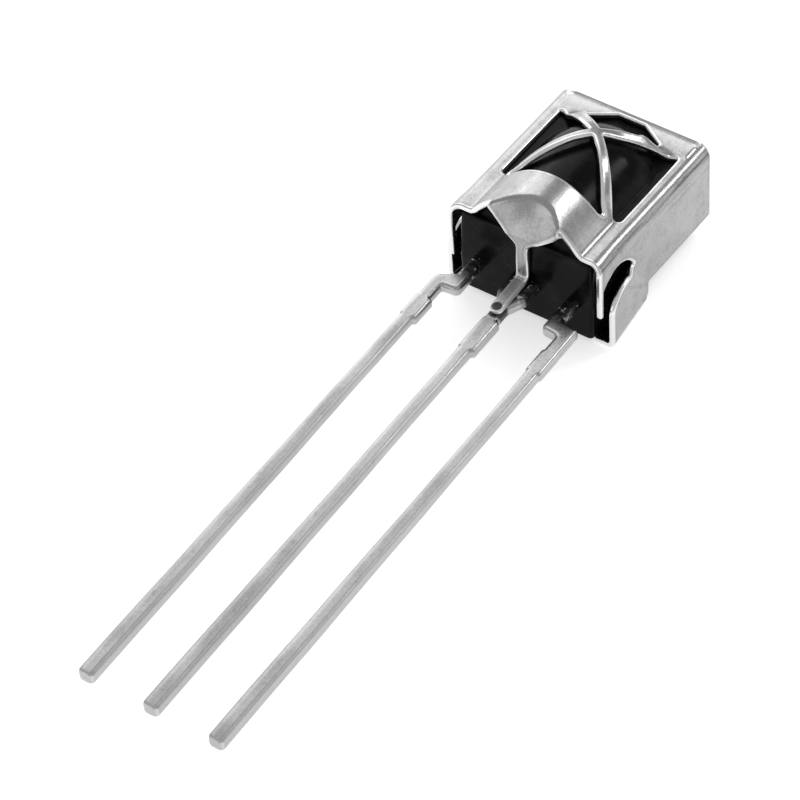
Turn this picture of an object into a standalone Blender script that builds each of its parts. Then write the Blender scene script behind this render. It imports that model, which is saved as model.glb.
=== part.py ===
# Infrared receiver module: an infrared-pass epoxy body in a folded sheet shield,
# with three leads, a photodiode and a receiver chip inside.
# X is across the leads, the leads point along -Y and the lens faces +Z.
# The module lies on its back, so Z = 0 is the plane that it rests on.

import math

import bmesh
import bpy
import numpy as np
from mathutils import Vector
from mathutils.geometry import delaunay_2d_cdt

# Every length below is in millimetres and every angle in degrees.
METRE = 0.001

# Shield, one piece of tinned steel strip
SHEET = 0.20
SHIELD_WIDTH = 6.03
SHIELD_TOP = 7.00
SHIELD_FOOT = -0.03
SHIELD_DEPTH = 3.15
FRONT_HEIGHT = 3.87
SIDE_BEND = 0.40
TOP_BEND = 0.22
CORNER_SLIT = 0.04
SIDE_STEP = 0.12
CORNER_RADIUS = 0.10
FOLD_MARGIN = 0.02
TOP_FLAP_CORNER = 0.30
SLIT_ROUND = 0.02

# Window and the raised X that crosses it
WINDOW_HALF = 2.37
RIM_Y = 1.72
CROSS_Y = 4.42
ARM_WIDTH = 0.36
ARM_BOW = 0.13
LOWER_FOOT = (1.95, 2.10)
UPPER_FOOT = (1.99, 5.78)
GUSSET_START = 1.05
TOP_TIP = (1.45, 6.02)
TOP_CORNER = (0.52, 6.60)
WINDOW_FILLET = 0.13
TIP_FILLET = 0.06

# Raised dome of the front: rise, half span and power of the curve at three heights
RIM_DOME = (1.36, 2.20, 2.0)
LOWER_DOME = (1.27, 2.12, 2.4)
UPPER_DOME = (1.17, 2.12, 1.7)
DOME_FOOT = 0.08
RIM_BLEND = (1.90, 2.30)
CROSS_BLEND = (4.10, 4.90)
FADE_START = 5.45
FADE_END = 6.02

# Flap and strap that run down over the bottom of the body to the centre lead
CREASE_Y = 0.57
CREASE_BOW = 0.30
CREASE_SKEW = 0.30
FLAP_ANGLE = 62.0
FLAP_BEND = 0.30
STRAP_BEND = 0.30
TOE_BEND = 0.16
TOE_ANGLE = 4.0
STRAP_HALF = 0.25
FLAP_HALF = 1.41
FLAP_SHOULDER = -0.28
FLAP_ROUND = 0.12
NECK_ROUND = 0.35
NECK_DROP = 2.05
TOE_Y = -2.05
TOE_ROUND = 0.22

# Clinch ear of each side and the finger beside it
EAR_OUT_LOW = 0.37
EAR_OUT_HIGH = 0.09
EAR_JOGGLE = 0.45
EAR_BEND = 0.32
EAR_LOW = 0.14
EAR_HIGH = 2.70
EAR_ROOT = 2.95
EAR_FRONT = 1.55
EAR_REACH = 2.55
TAB_CORNER = 0.18
REAR_SHOULDER = (0.35, 0.12)
REAR_ROUND = (0.08, 0.20)
FINGER_FOOT = -0.17
FINGER_WIDTH = 0.22
FINGER_DEPTH = 2.38
FINGER_FLARE = 0.07
FLARE_TOP = 1.20
SLOT_CENTRE = (0.90, 2.00)
SLOT_RADII = (1.20, 1.15)
SLOT_END = 1.95
SLOT_MARGIN = 0.10
EAR_NOSE = (1.12, 0.80)

# Epoxy body
FRONT_GAP = 0.02
STRAP_GAP = 0.03
BODY_HALF = 2.70
BODY_FOOT = -0.10
TOP_GAP = 0.05
BODY_BACK = 0.25
BODY_CORNER = 0.30
FOOT_CORNER = 0.15
DRAFT_FRONT = 0.08
DRAFT_BACK = 0.05
BODY_EDGE = 0.10
LENS_HALF = 2.05
LENS_RISE = 1.10
LENS_Y = 4.20
LENS_FOOT = 0.14
LENS_SINK = 0.30
EJECTOR_RADIUS = 0.55
EJECTOR_DEPTH = 0.05
EJECTOR_Y = (1.60, 5.20)

# Leads
PITCH = 2.54
LEAD_WIDTH = 0.50
LEAD_THICK = 0.42
LEAD_DEPTH = 2.24
LEAD_LENGTH = 21.50
LEAD_DROOP = 2.7
DROOP_START = -0.25
TIP_CHAMFER = 0.08
EXIT_INNER = 1.66
EXIT_OUTER = 2.14
SHOULDER_Y = -1.72
JOG_START = -1.02
STUB_TOP = -2.45
STUB_END = -3.50
CENTRE_STUB_TOP = -2.20
CENTRE_STUB_END = -3.75
STUB_RAMP = 0.06
STUB_ROUND = 0.03
SHOULDER_ROUND = 0.22
EDGE_ROUND = 0.08

# Stamped edges of the two outer leads: end of the jog, its round, outward step and the
# stand-out of the dam-bar stubs on the inner and the outer edge
LEFT_EDGES = (-1.42, 0.35, 0.00, 0.12, 0.05)
RIGHT_EDGES = (-1.20, 0.12, 0.05, 0.06, 0.06)
CENTRE_STUBS = (0.12, 0.05)
EXIT_FLARE = 0.56
FLARE_START = -0.95
FLARE_END = -1.60

# Lead frame inside the body
POST_HALF = 0.36
POST_TOP = 2.30
POST_X = 2.00
POST_SIZE = 1.00
POST_TAPER = 0.30
PADDLE_HALF = 1.20
PADDLE_FOOT = 1.25
PADDLE_TOP = 5.50
PADDLE_TAPER = 0.25
NECK_HALF = 0.30
NECK_FOOT = 0.55
NECK_ROUNDS = 0.10
ANCHOR_RADIUS = 0.16
ANCHOR_DROP = 0.75
EXIT_RUN = 1.00
MOULD_GAP = 0.015

# Chips, the adhesive under them and the bond wires
CHIP_GAP = 0.01
GLUE_THICK = 0.025
CHIP_THICK = 0.20
DIODE_SIDE = 1.60
RECEIVER_WIDTH = 1.15
RECEIVER_HEIGHT = 0.95
RECEIVER_Y = 2.05
WIRE_RADIUS = 0.015
BALL_RADIUS = 0.035
WIRE_LOOP = 0.30
GLUE_MARGIN = 0.04
PAD_INSET = 0.13
DIODE_WIRE_X = 0.25

ARC_STEPS = 5
CURVE_STEP = 0.13

# Sizes that follow from the ones above
HALF = SHIELD_WIDTH / 2
FOLD_U = HALF - SIDE_BEND
TOP_V = SHIELD_TOP - TOP_BEND
STRAP_Y = BODY_FOOT - STRAP_GAP - SHEET
BODY_FRONT = FRONT_HEIGHT - SHEET - FRONT_GAP
BODY_TOP = SHIELD_TOP - SHEET - TOP_GAP
LEAD_Z = FRONT_HEIGHT - LEAD_DEPTH
LEAD_TOP = LEAD_Z + LEAD_THICK / 2
LENS_CURVE = (LENS_HALF ** 2 + LENS_RISE ** 2) / (2 * LENS_RISE)
DROOP = math.tan(math.radians(LEAD_DROOP))
SHIFT_Y = (LEAD_LENGTH - SHIELD_TOP) / 2
SIDE_TOP = SHIELD_TOP - SIDE_STEP


def lead_top(y):
    # Height of the leads' upper face, which falls away beyond the start of the droop
    return LEAD_TOP - DROOP * max(0.0, DROOP_START - y)


def smooth(value, start, end):
    # Smooth step from 0 at start to 1 at end
    t = np.clip((value - start) / (end - start), 0.0, 1.0)
    return t * t * (3 - 2 * t)


def fillet(corners):
    # Closed outline from (x, y, radius) corners, each rounded by an arc
    count = len(corners)
    out = []
    for i, (x, y, radius) in enumerate(corners):
        here = np.array((x, y))
        before = np.array(corners[i - 1][:2]) - here
        after = np.array(corners[(i + 1) % count][:2]) - here
        if radius <= 0:
            out.append(tuple(here))
            continue
        a = before / np.linalg.norm(before)
        b = after / np.linalg.norm(after)
        if np.linalg.norm(a + b) < 1e-6:
            out.append(tuple(here))
            continue
        half = math.acos(float(np.clip(a @ b, -1, 1))) / 2
        reach = radius / math.tan(half)
        centre = here + (a + b) / np.linalg.norm(a + b) * radius / math.sin(half)
        start = here + a * reach - centre
        end = here + b * reach - centre
        first = math.atan2(start[1], start[0])
        sweep = (math.atan2(end[1], end[0]) - first + math.pi) % (2 * math.pi) - math.pi
        for k in range(ARC_STEPS + 1):
            angle = first + sweep * k / ARC_STEPS
            arm = radius * np.array((math.cos(angle), math.sin(angle)))
            out.append(tuple(centre + arm))
    return out


def ellipse(centre, radii, first, last, steps):
    # Points of an ellipse between two angles
    angles = np.radians(np.linspace(first, last, steps + 1))
    return [(centre[0] + radii[0] * math.cos(a), centre[1] + radii[1] * math.sin(a)) for a in angles]


def split_long(loop, limit, wanted):
    # Extra points on the long edges of the loop wherever wanted(x, y) is true
    out = []
    for i, p in enumerate(loop):
        q = loop[(i + 1) % len(loop)]
        out.append(p)
        middle = ((p[0] + q[0]) / 2, (p[1] + q[1]) / 2)
        length = math.dist(p, q)
        if length > limit and wanted(*middle):
            parts = math.ceil(length / limit)
            for k in range(1, parts):
                out.append((p[0] + (q[0] - p[0]) * k / parts, p[1] + (q[1] - p[1]) * k / parts))
    return out


def mirrored(half):
    # Closed outline from its right half, listed from the top centre to the bottom centre
    return half + [(-x, y) for x, y in reversed(half)]


def offset(loop, distance):
    # Outline grown by a distance, with sharp corners
    points = np.array(loop)
    nxt = np.roll(points, -1, axis=0)
    area = np.sum(points[:, 0] * nxt[:, 1] - nxt[:, 0] * points[:, 1]) / 2
    edges = nxt - points
    edges /= np.linalg.norm(edges, axis=1)[:, None]
    normals = np.stack([edges[:, 1], -edges[:, 0]], axis=1) * np.sign(area)
    out = []
    for i in range(len(points)):
        n0 = normals[i - 1]
        n1 = normals[i]
        out.append(tuple(points[i] + (n0 + n1) * distance / (1 + n0 @ n1)))
    return out


def inside(points, loops):
    # Even-odd test of points against closed loops
    hits = np.zeros(len(points), dtype=bool)
    x = points[:, 0]
    y = points[:, 1]
    for loop in loops:
        for i in range(len(loop)):
            x0, y0 = loop[i - 1]
            x1, y1 = loop[i]
            if y0 == y1:
                continue
            across = (y0 > y) != (y1 > y)
            hits ^= across & (x < x0 + (y - y0) * (x1 - x0) / (y1 - y0))
    return hits


def clearance(points, loops):
    # Distance from each point to the nearest edge of the loops
    best = np.full(len(points), 1e9)
    for loop in loops:
        for i in range(len(loop)):
            a = np.array(loop[i - 1])
            b = np.array(loop[i])
            along = b - a
            t = np.clip(((points - a) @ along) / max(along @ along, 1e-12), 0, 1)
            best = np.minimum(best, np.linalg.norm(points - a - t[:, None] * along, axis=1))
    return best


def clear_scene():
    for item in list(bpy.data.objects):
        bpy.data.objects.remove(item, do_unlink=True)


def material(name, colour, metallic, roughness):
    made = bpy.data.materials.new(name)
    made.use_nodes = True
    shader = made.node_tree.nodes["Principled BSDF"]
    shader.inputs["Base Color"].default_value = (*colour, 1)
    shader.inputs["Metallic"].default_value = metallic
    shader.inputs["Roughness"].default_value = roughness
    made.diffuse_color = (*colour, 1)
    return made


def add_object(name, points, faces, made=None, sharp=35.0):
    mesh = bpy.data.meshes.new(name)
    shifted = [(x * METRE, (y + SHIFT_Y) * METRE, z * METRE) for x, y, z in points]
    mesh.from_pydata(shifted, [], faces)
    work = bmesh.new()
    work.from_mesh(mesh)
    bmesh.ops.recalc_face_normals(work, faces=work.faces)
    work.to_mesh(mesh)
    work.free()
    thing = bpy.data.objects.new(name, mesh)
    bpy.context.scene.collection.objects.link(thing)
    if made:
        mesh.materials.append(made)
        mesh.shade_smooth()
        mesh.set_sharp_from_angle(angle=math.radians(sharp))
    return thing


def cut(target, cutter, operation="DIFFERENCE"):
    cutter.hide_render = True
    cutter.display_type = "WIRE"
    step = target.modifiers.new(cutter.name, "BOOLEAN")
    step.operation = operation
    step.solver = "EXACT"
    step.object = cutter


def stamped(loops, lines, extra, place):
    # Solid of one sheet: the flat outline is cut into triangles, then place() puts each
    # flat point on the two faces of the formed sheet and the cut edge joins them
    points = []
    edges = []
    for loop in loops:
        first = len(points)
        points += loop
        edges += [(first + i, first + (i + 1) % len(loop)) for i in range(len(loop))]
    for line in lines:
        first = len(points)
        points += line
        edges += [(first + i, first + i + 1) for i in range(len(line) - 1)]
    points += extra
    flat, _, cells, _, _, _ = delaunay_2d_cdt([Vector(p) for p in points], edges, [], 0, 1e-6)
    flat = np.array([tuple(p) for p in flat])
    cells = np.array(cells)
    middle = flat[cells].mean(axis=1)
    cells = cells[inside(middle, loops)]
    used = np.unique(cells)
    order = np.full(len(flat), -1)
    order[used] = np.arange(len(used))
    flat = flat[used]
    cells = order[cells]
    upper, lower = place(flat)
    count = len(flat)
    seen = {}
    for a, b, c in cells:
        for edge in ((a, b), (b, c), (c, a)):
            seen[edge] = True
    walls = []
    for a, b in seen:
        if (b, a) not in seen:
            walls.append((b, a, a + count))
            walls.append((b, a + count, b + count))
    faces = [tuple(c) for c in cells]
    faces += [(c + count, b + count, a + count) for a, b, c in cells]
    faces += walls
    faces = [tuple(int(i) for i in face) for face in faces]
    return np.vstack([upper, lower]), faces


def prism(loop, low, high):
    # Straight solid between two heights from a closed outline
    count = len(loop)
    points = [(x, y, low) for x, y in loop] + [(x, y, high) for x, y in loop]
    faces = [tuple(range(count - 1, -1, -1)), tuple(range(count, 2 * count))]
    faces += [(i, (i + 1) % count, count + (i + 1) % count, count + i) for i in range(count)]
    return points, faces


def box_loop(x0, x1, y0, y1):
    return [(x0, y0), (x1, y0), (x1, y1), (x0, y1)]


def tube(path, radii, sides=8):
    # Round bar along a path, with a radius at every station
    path = np.array(path)
    points = []
    faces = []
    for i, p in enumerate(path):
        ahead = path[min(i + 1, len(path) - 1)] - path[max(i - 1, 0)]
        ahead = ahead / np.linalg.norm(ahead)
        side = np.cross(ahead, (0.0, 0.0, 1.0))
        if np.linalg.norm(side) < 1e-6:
            side = np.array((1.0, 0.0, 0.0))
        side = side / np.linalg.norm(side)
        up = np.cross(side, ahead)
        for k in range(sides):
            angle = 2 * math.pi * k / sides
            points.append(tuple(p + radii[i] * (side * math.cos(angle) + up * math.sin(angle))))
    for i in range(len(path) - 1):
        for k in range(sides):
            a = i * sides + k
            b = i * sides + (k + 1) % sides
            faces.append((a, b, b + sides, a + sides))
    faces.append(tuple(range(sides - 1, -1, -1)))
    last = (len(path) - 1) * sides
    faces.append(tuple(range(last, last + sides)))
    return points, faces


def dome_height(x, y):
    # Height of the pressed dome above the flat front
    low = smooth(y, *RIM_BLEND)
    high = smooth(y, *CROSS_BLEND)
    rise, span, power = (
        a + (b - a) * low + (c - b) * high for a, b, c in zip(RIM_DOME, LOWER_DOME, UPPER_DOME)
    )
    height = rise * (1 - (np.abs(x) / span) ** power)
    height = height * (1 - smooth(y, FADE_START, FADE_END))
    # a small hollow fillet where the dome meets the flat
    foot = (height + DOME_FOOT) ** 2 / (4 * DOME_FOOT)
    return np.where(height > DOME_FOOT, height, np.where(height > -DOME_FOOT, foot, 0.0))


def strap_stages():
    # Bends and straights of the flap and strap as (length, start angle, turn per millimetre)
    flap = math.radians(FLAP_ANGLE)
    toe = math.radians(TOE_ANGLE)
    down = math.pi / 2
    dome_top = FRONT_HEIGHT + RIM_DOME[0]
    straight = (CREASE_Y - STRAP_Y - FLAP_BEND * math.sin(flap) - STRAP_BEND * (1 - math.sin(flap)))
    straight /= math.cos(flap)
    toe_run = (STRAP_Y - TOE_Y - TOE_BEND * (1 - math.sin(toe))) / math.cos(toe)
    toe_z = lead_top(TOE_Y + SHEET * math.sin(toe)) + FRONT_GAP + SHEET * math.cos(toe)
    spent = FLAP_BEND * (1 - math.cos(flap)) + straight * math.sin(flap)
    spent += STRAP_BEND * math.cos(flap) + TOE_BEND * math.cos(toe) + toe_run * math.sin(toe)
    drop = dome_top - toe_z - spent
    return [
        (FLAP_BEND * flap, 0.0, 1 / FLAP_BEND),
        (straight, flap, 0.0),
        (STRAP_BEND * (down - flap), flap, 1 / STRAP_BEND),
        (drop, down, 0.0),
        (TOE_BEND * (down - toe), down, -1 / TOE_BEND),
        (toe_run, toe, 0.0),
    ]


def strap_path(distance):
    # How far the strap has gone forward and down after a length along it
    forward = np.zeros_like(distance)
    down = np.zeros_like(distance)
    start = 0.0
    for length, angle, turn in STAGES:
        part = np.clip(distance - start, 0.0, length)
        if turn:
            forward += (np.sin(angle + turn * part) - math.sin(angle)) / turn
            down += (math.cos(angle) - np.cos(angle + turn * part)) / turn
        else:
            forward += part * math.cos(angle)
            down += part * math.sin(angle)
        start += length
    return forward, down


STAGES = strap_stages()
STRAP_LENGTH = sum(stage[0] for stage in STAGES)


def crease_line(u):
    # Height of the crease between the dome and the flap, a little higher on the right
    return CREASE_Y - CREASE_BOW * u * u + CREASE_SKEW * u * np.maximum(0.0, 1 - (u / FLAP_HALF) ** 2)


def beside_slot(v, depth):
    # True on the finger and on the side above the slot, which the ear's step leaves alone
    across = np.clip((v - SLOT_CENTRE[0]) / SLOT_RADII[0], -1.0, 1.0)
    edge = SLOT_CENTRE[1] - SLOT_RADII[1] * np.sqrt(1 - across ** 2)
    between = (FINGER_FOOT + FINGER_WIDTH + EAR_LOW) / 2
    return (v < between) | ((v < SLOT_END) & (depth < edge + SLOT_MARGIN))


def side_u(depth):
    # Flat coordinate of a point of the side at a depth behind the front
    return FOLD_U + SIDE_BEND * math.pi / 2 + depth - SIDE_BEND


def formed(flat):
    # Outer face of the folded shield for flat coordinates u across and v up
    u = flat[:, 0]
    v = flat[:, 1]
    across = np.abs(u)
    hand = np.sign(u)
    crease = crease_line(u)
    # the curve of the crease fades out down the flap, so the strap runs down straight
    fade = 1 - smooth(crease - v, 0.0, NECK_DROP)
    start = CREASE_Y + (crease - CREASE_Y) * fade
    base = np.where(v > crease, v, start)
    forward, down = strap_path(np.where(v > crease, 0.0, start - v))
    x = u.copy()
    y = base - forward
    z = FRONT_HEIGHT + dome_height(u, base) - down
    # side: bend, straight down, then the clinch bend of the ear
    turn = np.clip((across - FOLD_U) / SIDE_BEND, 0.0, math.pi / 2)
    depth = SIDE_BEND + np.maximum(0.0, across - FOLD_U - SIDE_BEND * math.pi / 2)
    reach = np.array((EAR_ROOT - SLOT_END, SHIELD_DEPTH - EAR_FRONT))
    reach /= np.linalg.norm(reach)
    off = (depth - EAR_FRONT) * reach[0] - (v - SLOT_END) * reach[1]
    off = np.where(beside_slot(v, depth), 0.0, off)
    along = np.clip((v - EAR_LOW) / (EAR_HIGH - EAR_LOW), 0.0, 1.0)
    step = smooth(off, 0.0, EAR_JOGGLE)
    flare = FINGER_FLARE * smooth(-v, -FLARE_TOP, 0.0) * (1 - step)
    out = (EAR_OUT_LOW + (EAR_OUT_HIGH - EAR_OUT_LOW) * along) * step + flare
    curl = np.clip((depth - FRONT_HEIGHT + EAR_BEND) / EAR_BEND, 0.0, math.pi / 2)
    tail = np.maximum(0.0, depth - FRONT_HEIGHT + EAR_BEND - EAR_BEND * math.pi / 2)
    side_x = HALF + out - EAR_BEND * (1 - np.cos(curl)) - tail
    side_z = np.where(curl > 0, EAR_BEND * (1 - np.sin(curl)), FRONT_HEIGHT - depth)
    bend_x = FOLD_U + SIDE_BEND * np.sin(turn) + flare * turn / (math.pi / 2)
    bend_z = FRONT_HEIGHT - SIDE_BEND * (1 - np.cos(turn))
    on_bend = across > FOLD_U
    on_side = across > FOLD_U + SIDE_BEND * math.pi / 2
    x = np.where(on_side, hand * side_x, np.where(on_bend, hand * bend_x, x))
    z = np.where(on_side, side_z, np.where(on_bend, bend_z, z))
    y = np.where(on_bend, v, y)
    # top flap: bend, then straight down
    tilt = np.clip((v - TOP_V) / TOP_BEND, 0.0, math.pi / 2)
    rest = np.maximum(0.0, v - TOP_V - TOP_BEND * math.pi / 2)
    on_top = (v > TOP_V) & (across < FOLD_U - CORNER_SLIT / 2)
    y = np.where(on_top, TOP_V + TOP_BEND * np.sin(tilt), y)
    z = np.where(on_top, FRONT_HEIGHT - TOP_BEND * (1 - np.cos(tilt)) - rest, z)
    return np.stack([x, y, z], axis=1)


def shield_faces(flat):
    # Outer and inner face; the inner one is a sheet thickness along the surface normal
    step = 1e-4
    outer = formed(flat)
    du = formed(flat + (step, 0)) - formed(flat - (step, 0))
    dv = formed(flat + (0, step)) - formed(flat - (0, step))
    normal = np.cross(du, dv)
    normal /= np.linalg.norm(normal, axis=1)[:, None]
    return outer, outer - normal * SHEET


def side_outline():
    # Right side of the blank from the top of the side down to the foot of the finger
    back = side_u(SHIELD_DEPTH)
    tail = EAR_BEND * (math.pi / 2 - 1) + HALF + EAR_OUT_HIGH - EAR_REACH
    tab = side_u(FRONT_HEIGHT + tail)
    points = fillet([
        (FOLD_U - FOLD_MARGIN, SIDE_TOP, 0), (back, SIDE_TOP, CORNER_RADIUS),
        (back, EAR_ROOT, REAR_ROUND[0]),
        (side_u(SHIELD_DEPTH + REAR_SHOULDER[0]), EAR_ROOT - REAR_SHOULDER[1], REAR_ROUND[1]),
        (side_u(FRONT_HEIGHT - EAR_BEND), EAR_HIGH, 0), (tab, EAR_HIGH, TAB_CORNER),
        (tab, EAR_LOW, TAB_CORNER), (side_u(EAR_FRONT + EAR_NOSE[1]), EAR_LOW, 0),
    ])
    nose = ellipse((EAR_LOW + EAR_NOSE[0], EAR_FRONT + EAR_NOSE[1]), EAR_NOSE, 188, 270, 7)
    points += [(side_u(depth), y) for y, depth in nose]
    angle = math.degrees(math.acos((SLOT_END - SLOT_CENTRE[0]) / SLOT_RADII[0]))
    tip = SLOT_CENTRE[1] - SLOT_RADII[1] * math.sin(math.radians(angle))
    middle = (EAR_FRONT + tip) / 2
    radius = (EAR_FRONT - tip) / 2
    points += [(side_u(middle + radius * math.cos(a)), SLOT_END + radius * math.sin(a))
               for a in np.radians((0, 45, 90, 135, 180))]
    inner = FINGER_FOOT + FINGER_WIDTH
    last = math.degrees(math.acos((inner - SLOT_CENTRE[0]) / SLOT_RADII[0]))
    arc = ellipse(SLOT_CENTRE, SLOT_RADII, -angle, -last, 12)
    points += [(side_u(depth), y) for y, depth in arc[1:]]
    end = side_u(FINGER_DEPTH)
    radius = FINGER_WIDTH / 2
    points += [(end - radius + radius * math.cos(a), FINGER_FOOT + radius + radius * math.sin(a))
               for a in np.radians((90, 45, 0, -45, -90))]
    points += [(side_u(SIDE_BEND), FINGER_FOOT), (FOLD_U, SHIELD_FOOT)]
    return points


def arm_line(foot, side):
    # One edge of an arm of the X as a point and a direction; side is +1 above, -1 below
    run = np.array(foot) - (0.0, CROSS_Y)
    run /= np.linalg.norm(run)
    normal = np.array((-run[1], run[0]))
    if normal[1] * side < 0:
        normal = -normal
    return np.array((0.0, CROSS_Y)) + normal * ARM_WIDTH / 2, run


def meet(line_a, line_b):
    # Crossing of two lines
    (p, r), (q, s) = line_a, line_b
    t = ((q - p)[0] * s[1] - (q - p)[1] * s[0]) / (r[0] * s[1] - r[1] * s[0])
    return tuple(p + r * t)


def bowed(hole):
    # The lower arms of the X bend outwards by ARM_BOW at the middle of their length
    x, y = np.array(hole).T
    along = np.clip((CROSS_Y - y) / (CROSS_Y - LOWER_FOOT[1]), 0.0, 1.0)
    push = ARM_BOW * np.sin(math.pi * along) * (1 - (x / WINDOW_HALF) ** 4)
    side = np.clip(x / ARM_WIDTH, -1.0, 1.0)
    return [(float(a), float(b)) for a, b in zip(x + side * push, y)]


def window_holes():
    edge = (np.array((WINDOW_HALF, 0.0)), np.array((0.0, 1.0)))
    rim = (np.array((0.0, RIM_Y)), np.array((1.0, 0.0)))
    middle = (np.array((0.0, 0.0)), np.array((0.0, 1.0)))
    low_out = arm_line(LOWER_FOOT, 1)
    low_in = arm_line(LOWER_FOOT, -1)
    high_out = arm_line(UPPER_FOOT, -1)
    high_in = arm_line(UPPER_FOOT, 1)
    near = meet(low_out, high_out)
    right = fillet([
        (*near, TIP_FILLET), (*meet(low_out, edge), WINDOW_FILLET),
        (*meet(high_out, edge), TIP_FILLET),
    ])
    low = meet(low_in, rim)
    bottom = fillet([
        (*meet(low_in, middle), TIP_FILLET), (-low[0], low[1], WINDOW_FILLET),
        (*low, WINDOW_FILLET),
    ])
    high = high_in[0] + high_in[1] * (GUSSET_START - high_in[0][0]) / high_in[1][0]
    top = fillet([
        (*meet(high_in, middle), TIP_FILLET), (*high, WINDOW_FILLET), (*TOP_TIP, TIP_FILLET),
        (*TOP_CORNER, WINDOW_FILLET), (-TOP_CORNER[0], TOP_CORNER[1], WINDOW_FILLET),
        (-TOP_TIP[0], TOP_TIP[1], TIP_FILLET), (-high[0], high[1], WINDOW_FILLET),
    ])
    left = [(-x, y) for x, y in right]
    holes = [split_long(hole, CURVE_STEP, lambda x, y: y < FADE_END) for hole in (right, left, bottom, top)]
    return [bowed(hole) for hole in holes]


def build_shield(made):
    flap_end = TOP_V + TOP_BEND * math.pi / 2 + SHIELD_DEPTH - TOP_BEND
    slit = FOLD_U - CORNER_SLIT - FOLD_MARGIN
    corner = FOLD_U - FOLD_MARGIN
    notch = TOP_V - CORNER_RADIUS
    top = fillet([
        (0.0, flap_end, 0), (slit, flap_end, TOP_FLAP_CORNER), (slit, notch, SLIT_ROUND),
        (corner, notch, SLIT_ROUND), (corner, SIDE_TOP, 0), (0.0, SIDE_TOP, 0),
    ])
    top = top[:-2]
    toe = CREASE_Y - STRAP_LENGTH
    neck = CREASE_Y - NECK_DROP
    foot = fillet([
        (HALF, SHIELD_FOOT, 0), (FLAP_HALF, SHIELD_FOOT, TIP_FILLET),
        (FLAP_HALF, FLAP_SHOULDER, FLAP_ROUND), (STRAP_HALF, neck, NECK_ROUND),
        (STRAP_HALF, toe, TOE_ROUND), (0.0, toe, 0), (0.0, CROSS_Y, 0),
    ])
    foot = foot[1:-2]
    half = top + side_outline()[1:] + foot
    outline = mirrored(half)
    loops = [split_long(outline, CURVE_STEP, lambda x, y: abs(x) < FOLD_U and y < RIM_Y)]
    loops += window_holes()
    lines = []
    for k in range(ARC_STEPS + 1):
        across = FOLD_U + SIDE_BEND * math.pi / 2 * k / ARC_STEPS
        up = TOP_V + TOP_BEND * math.pi / 2 * k / ARC_STEPS
        curl = side_u(FRONT_HEIGHT - EAR_BEND) + EAR_BEND * math.pi / 2 * k / ARC_STEPS
        for hand in (1, -1):
            lines.append([(hand * across, FINGER_FOOT), (hand * across, SHIELD_TOP)])
            lines.append([(hand * curl, EAR_LOW), (hand * curl, EAR_HIGH)])
        lines.append([(-slit, up), (slit, up)])
    start = 0.0
    for length, _, turn in STAGES:
        if turn and start > FLAP_BEND * 2:
            for k in range(ARC_STEPS + 1):
                v = CREASE_Y - start - length * k / ARC_STEPS
                if v < neck - CURVE_STEP:
                    lines.append([(-STRAP_HALF, v), (STRAP_HALF, v)])
        start += length
    # inner points wherever the blank is pressed into a curve
    across = np.arange(-WINDOW_HALF, WINDOW_HALF + CURVE_STEP, CURVE_STEP)
    up = np.arange(SHIELD_FOOT + CURVE_STEP, FADE_END, CURVE_STEP)
    grid = [(u, v) for u in across for v in up if v > crease_line(u) + CURVE_STEP]
    bow = np.arange(-FLAP_HALF, FLAP_HALF + CURVE_STEP / 2, CURVE_STEP * 0.75)
    bend_length = FLAP_BEND * math.radians(FLAP_ANGLE)
    rows = [bend_length * k / ARC_STEPS for k in range(ARC_STEPS + 1)]
    rows += list(np.arange(bend_length + CURVE_STEP, NECK_DROP, CURVE_STEP))
    grid += [(u, crease_line(u) - row) for u in bow for row in rows]
    ear_step = CURVE_STEP * 1.3
    ear_depth = np.arange(EAR_FRONT, FRONT_HEIGHT - EAR_BEND, ear_step)
    ear_up = np.arange(EAR_LOW, EAR_ROOT + ear_step, ear_step)
    for hand in (1, -1):
        grid += [(hand * side_u(depth), v) for depth in ear_depth for v in ear_up]
    grid = np.array(grid)
    lanes = np.array([line[0][0] for line in lines if line[0][0] == line[1][0]])
    keep = inside(grid, loops) & (clearance(grid, loops) > CURVE_STEP / 2)
    keep &= np.min(np.abs(grid[:, :1] - lanes), axis=1) > SLIT_ROUND
    keep &= (grid[:, 1] > neck) | (np.abs(grid[:, 0]) > FLAP_HALF)
    extra = [tuple(p) for p in grid[keep]]
    points, faces = stamped(loops, lines, extra, shield_faces)
    return add_object("shield", points, faces, made, 28.0)


def lead_faces(flat):
    # Upper and lower face of a lead, with the slight droop outside the body
    fall = DROOP * np.maximum(0.0, DROOP_START - flat[:, 1])
    upper = np.column_stack([flat, LEAD_TOP - fall])
    lower = np.column_stack([flat, LEAD_TOP - LEAD_THICK - fall])
    return upper, lower


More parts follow.
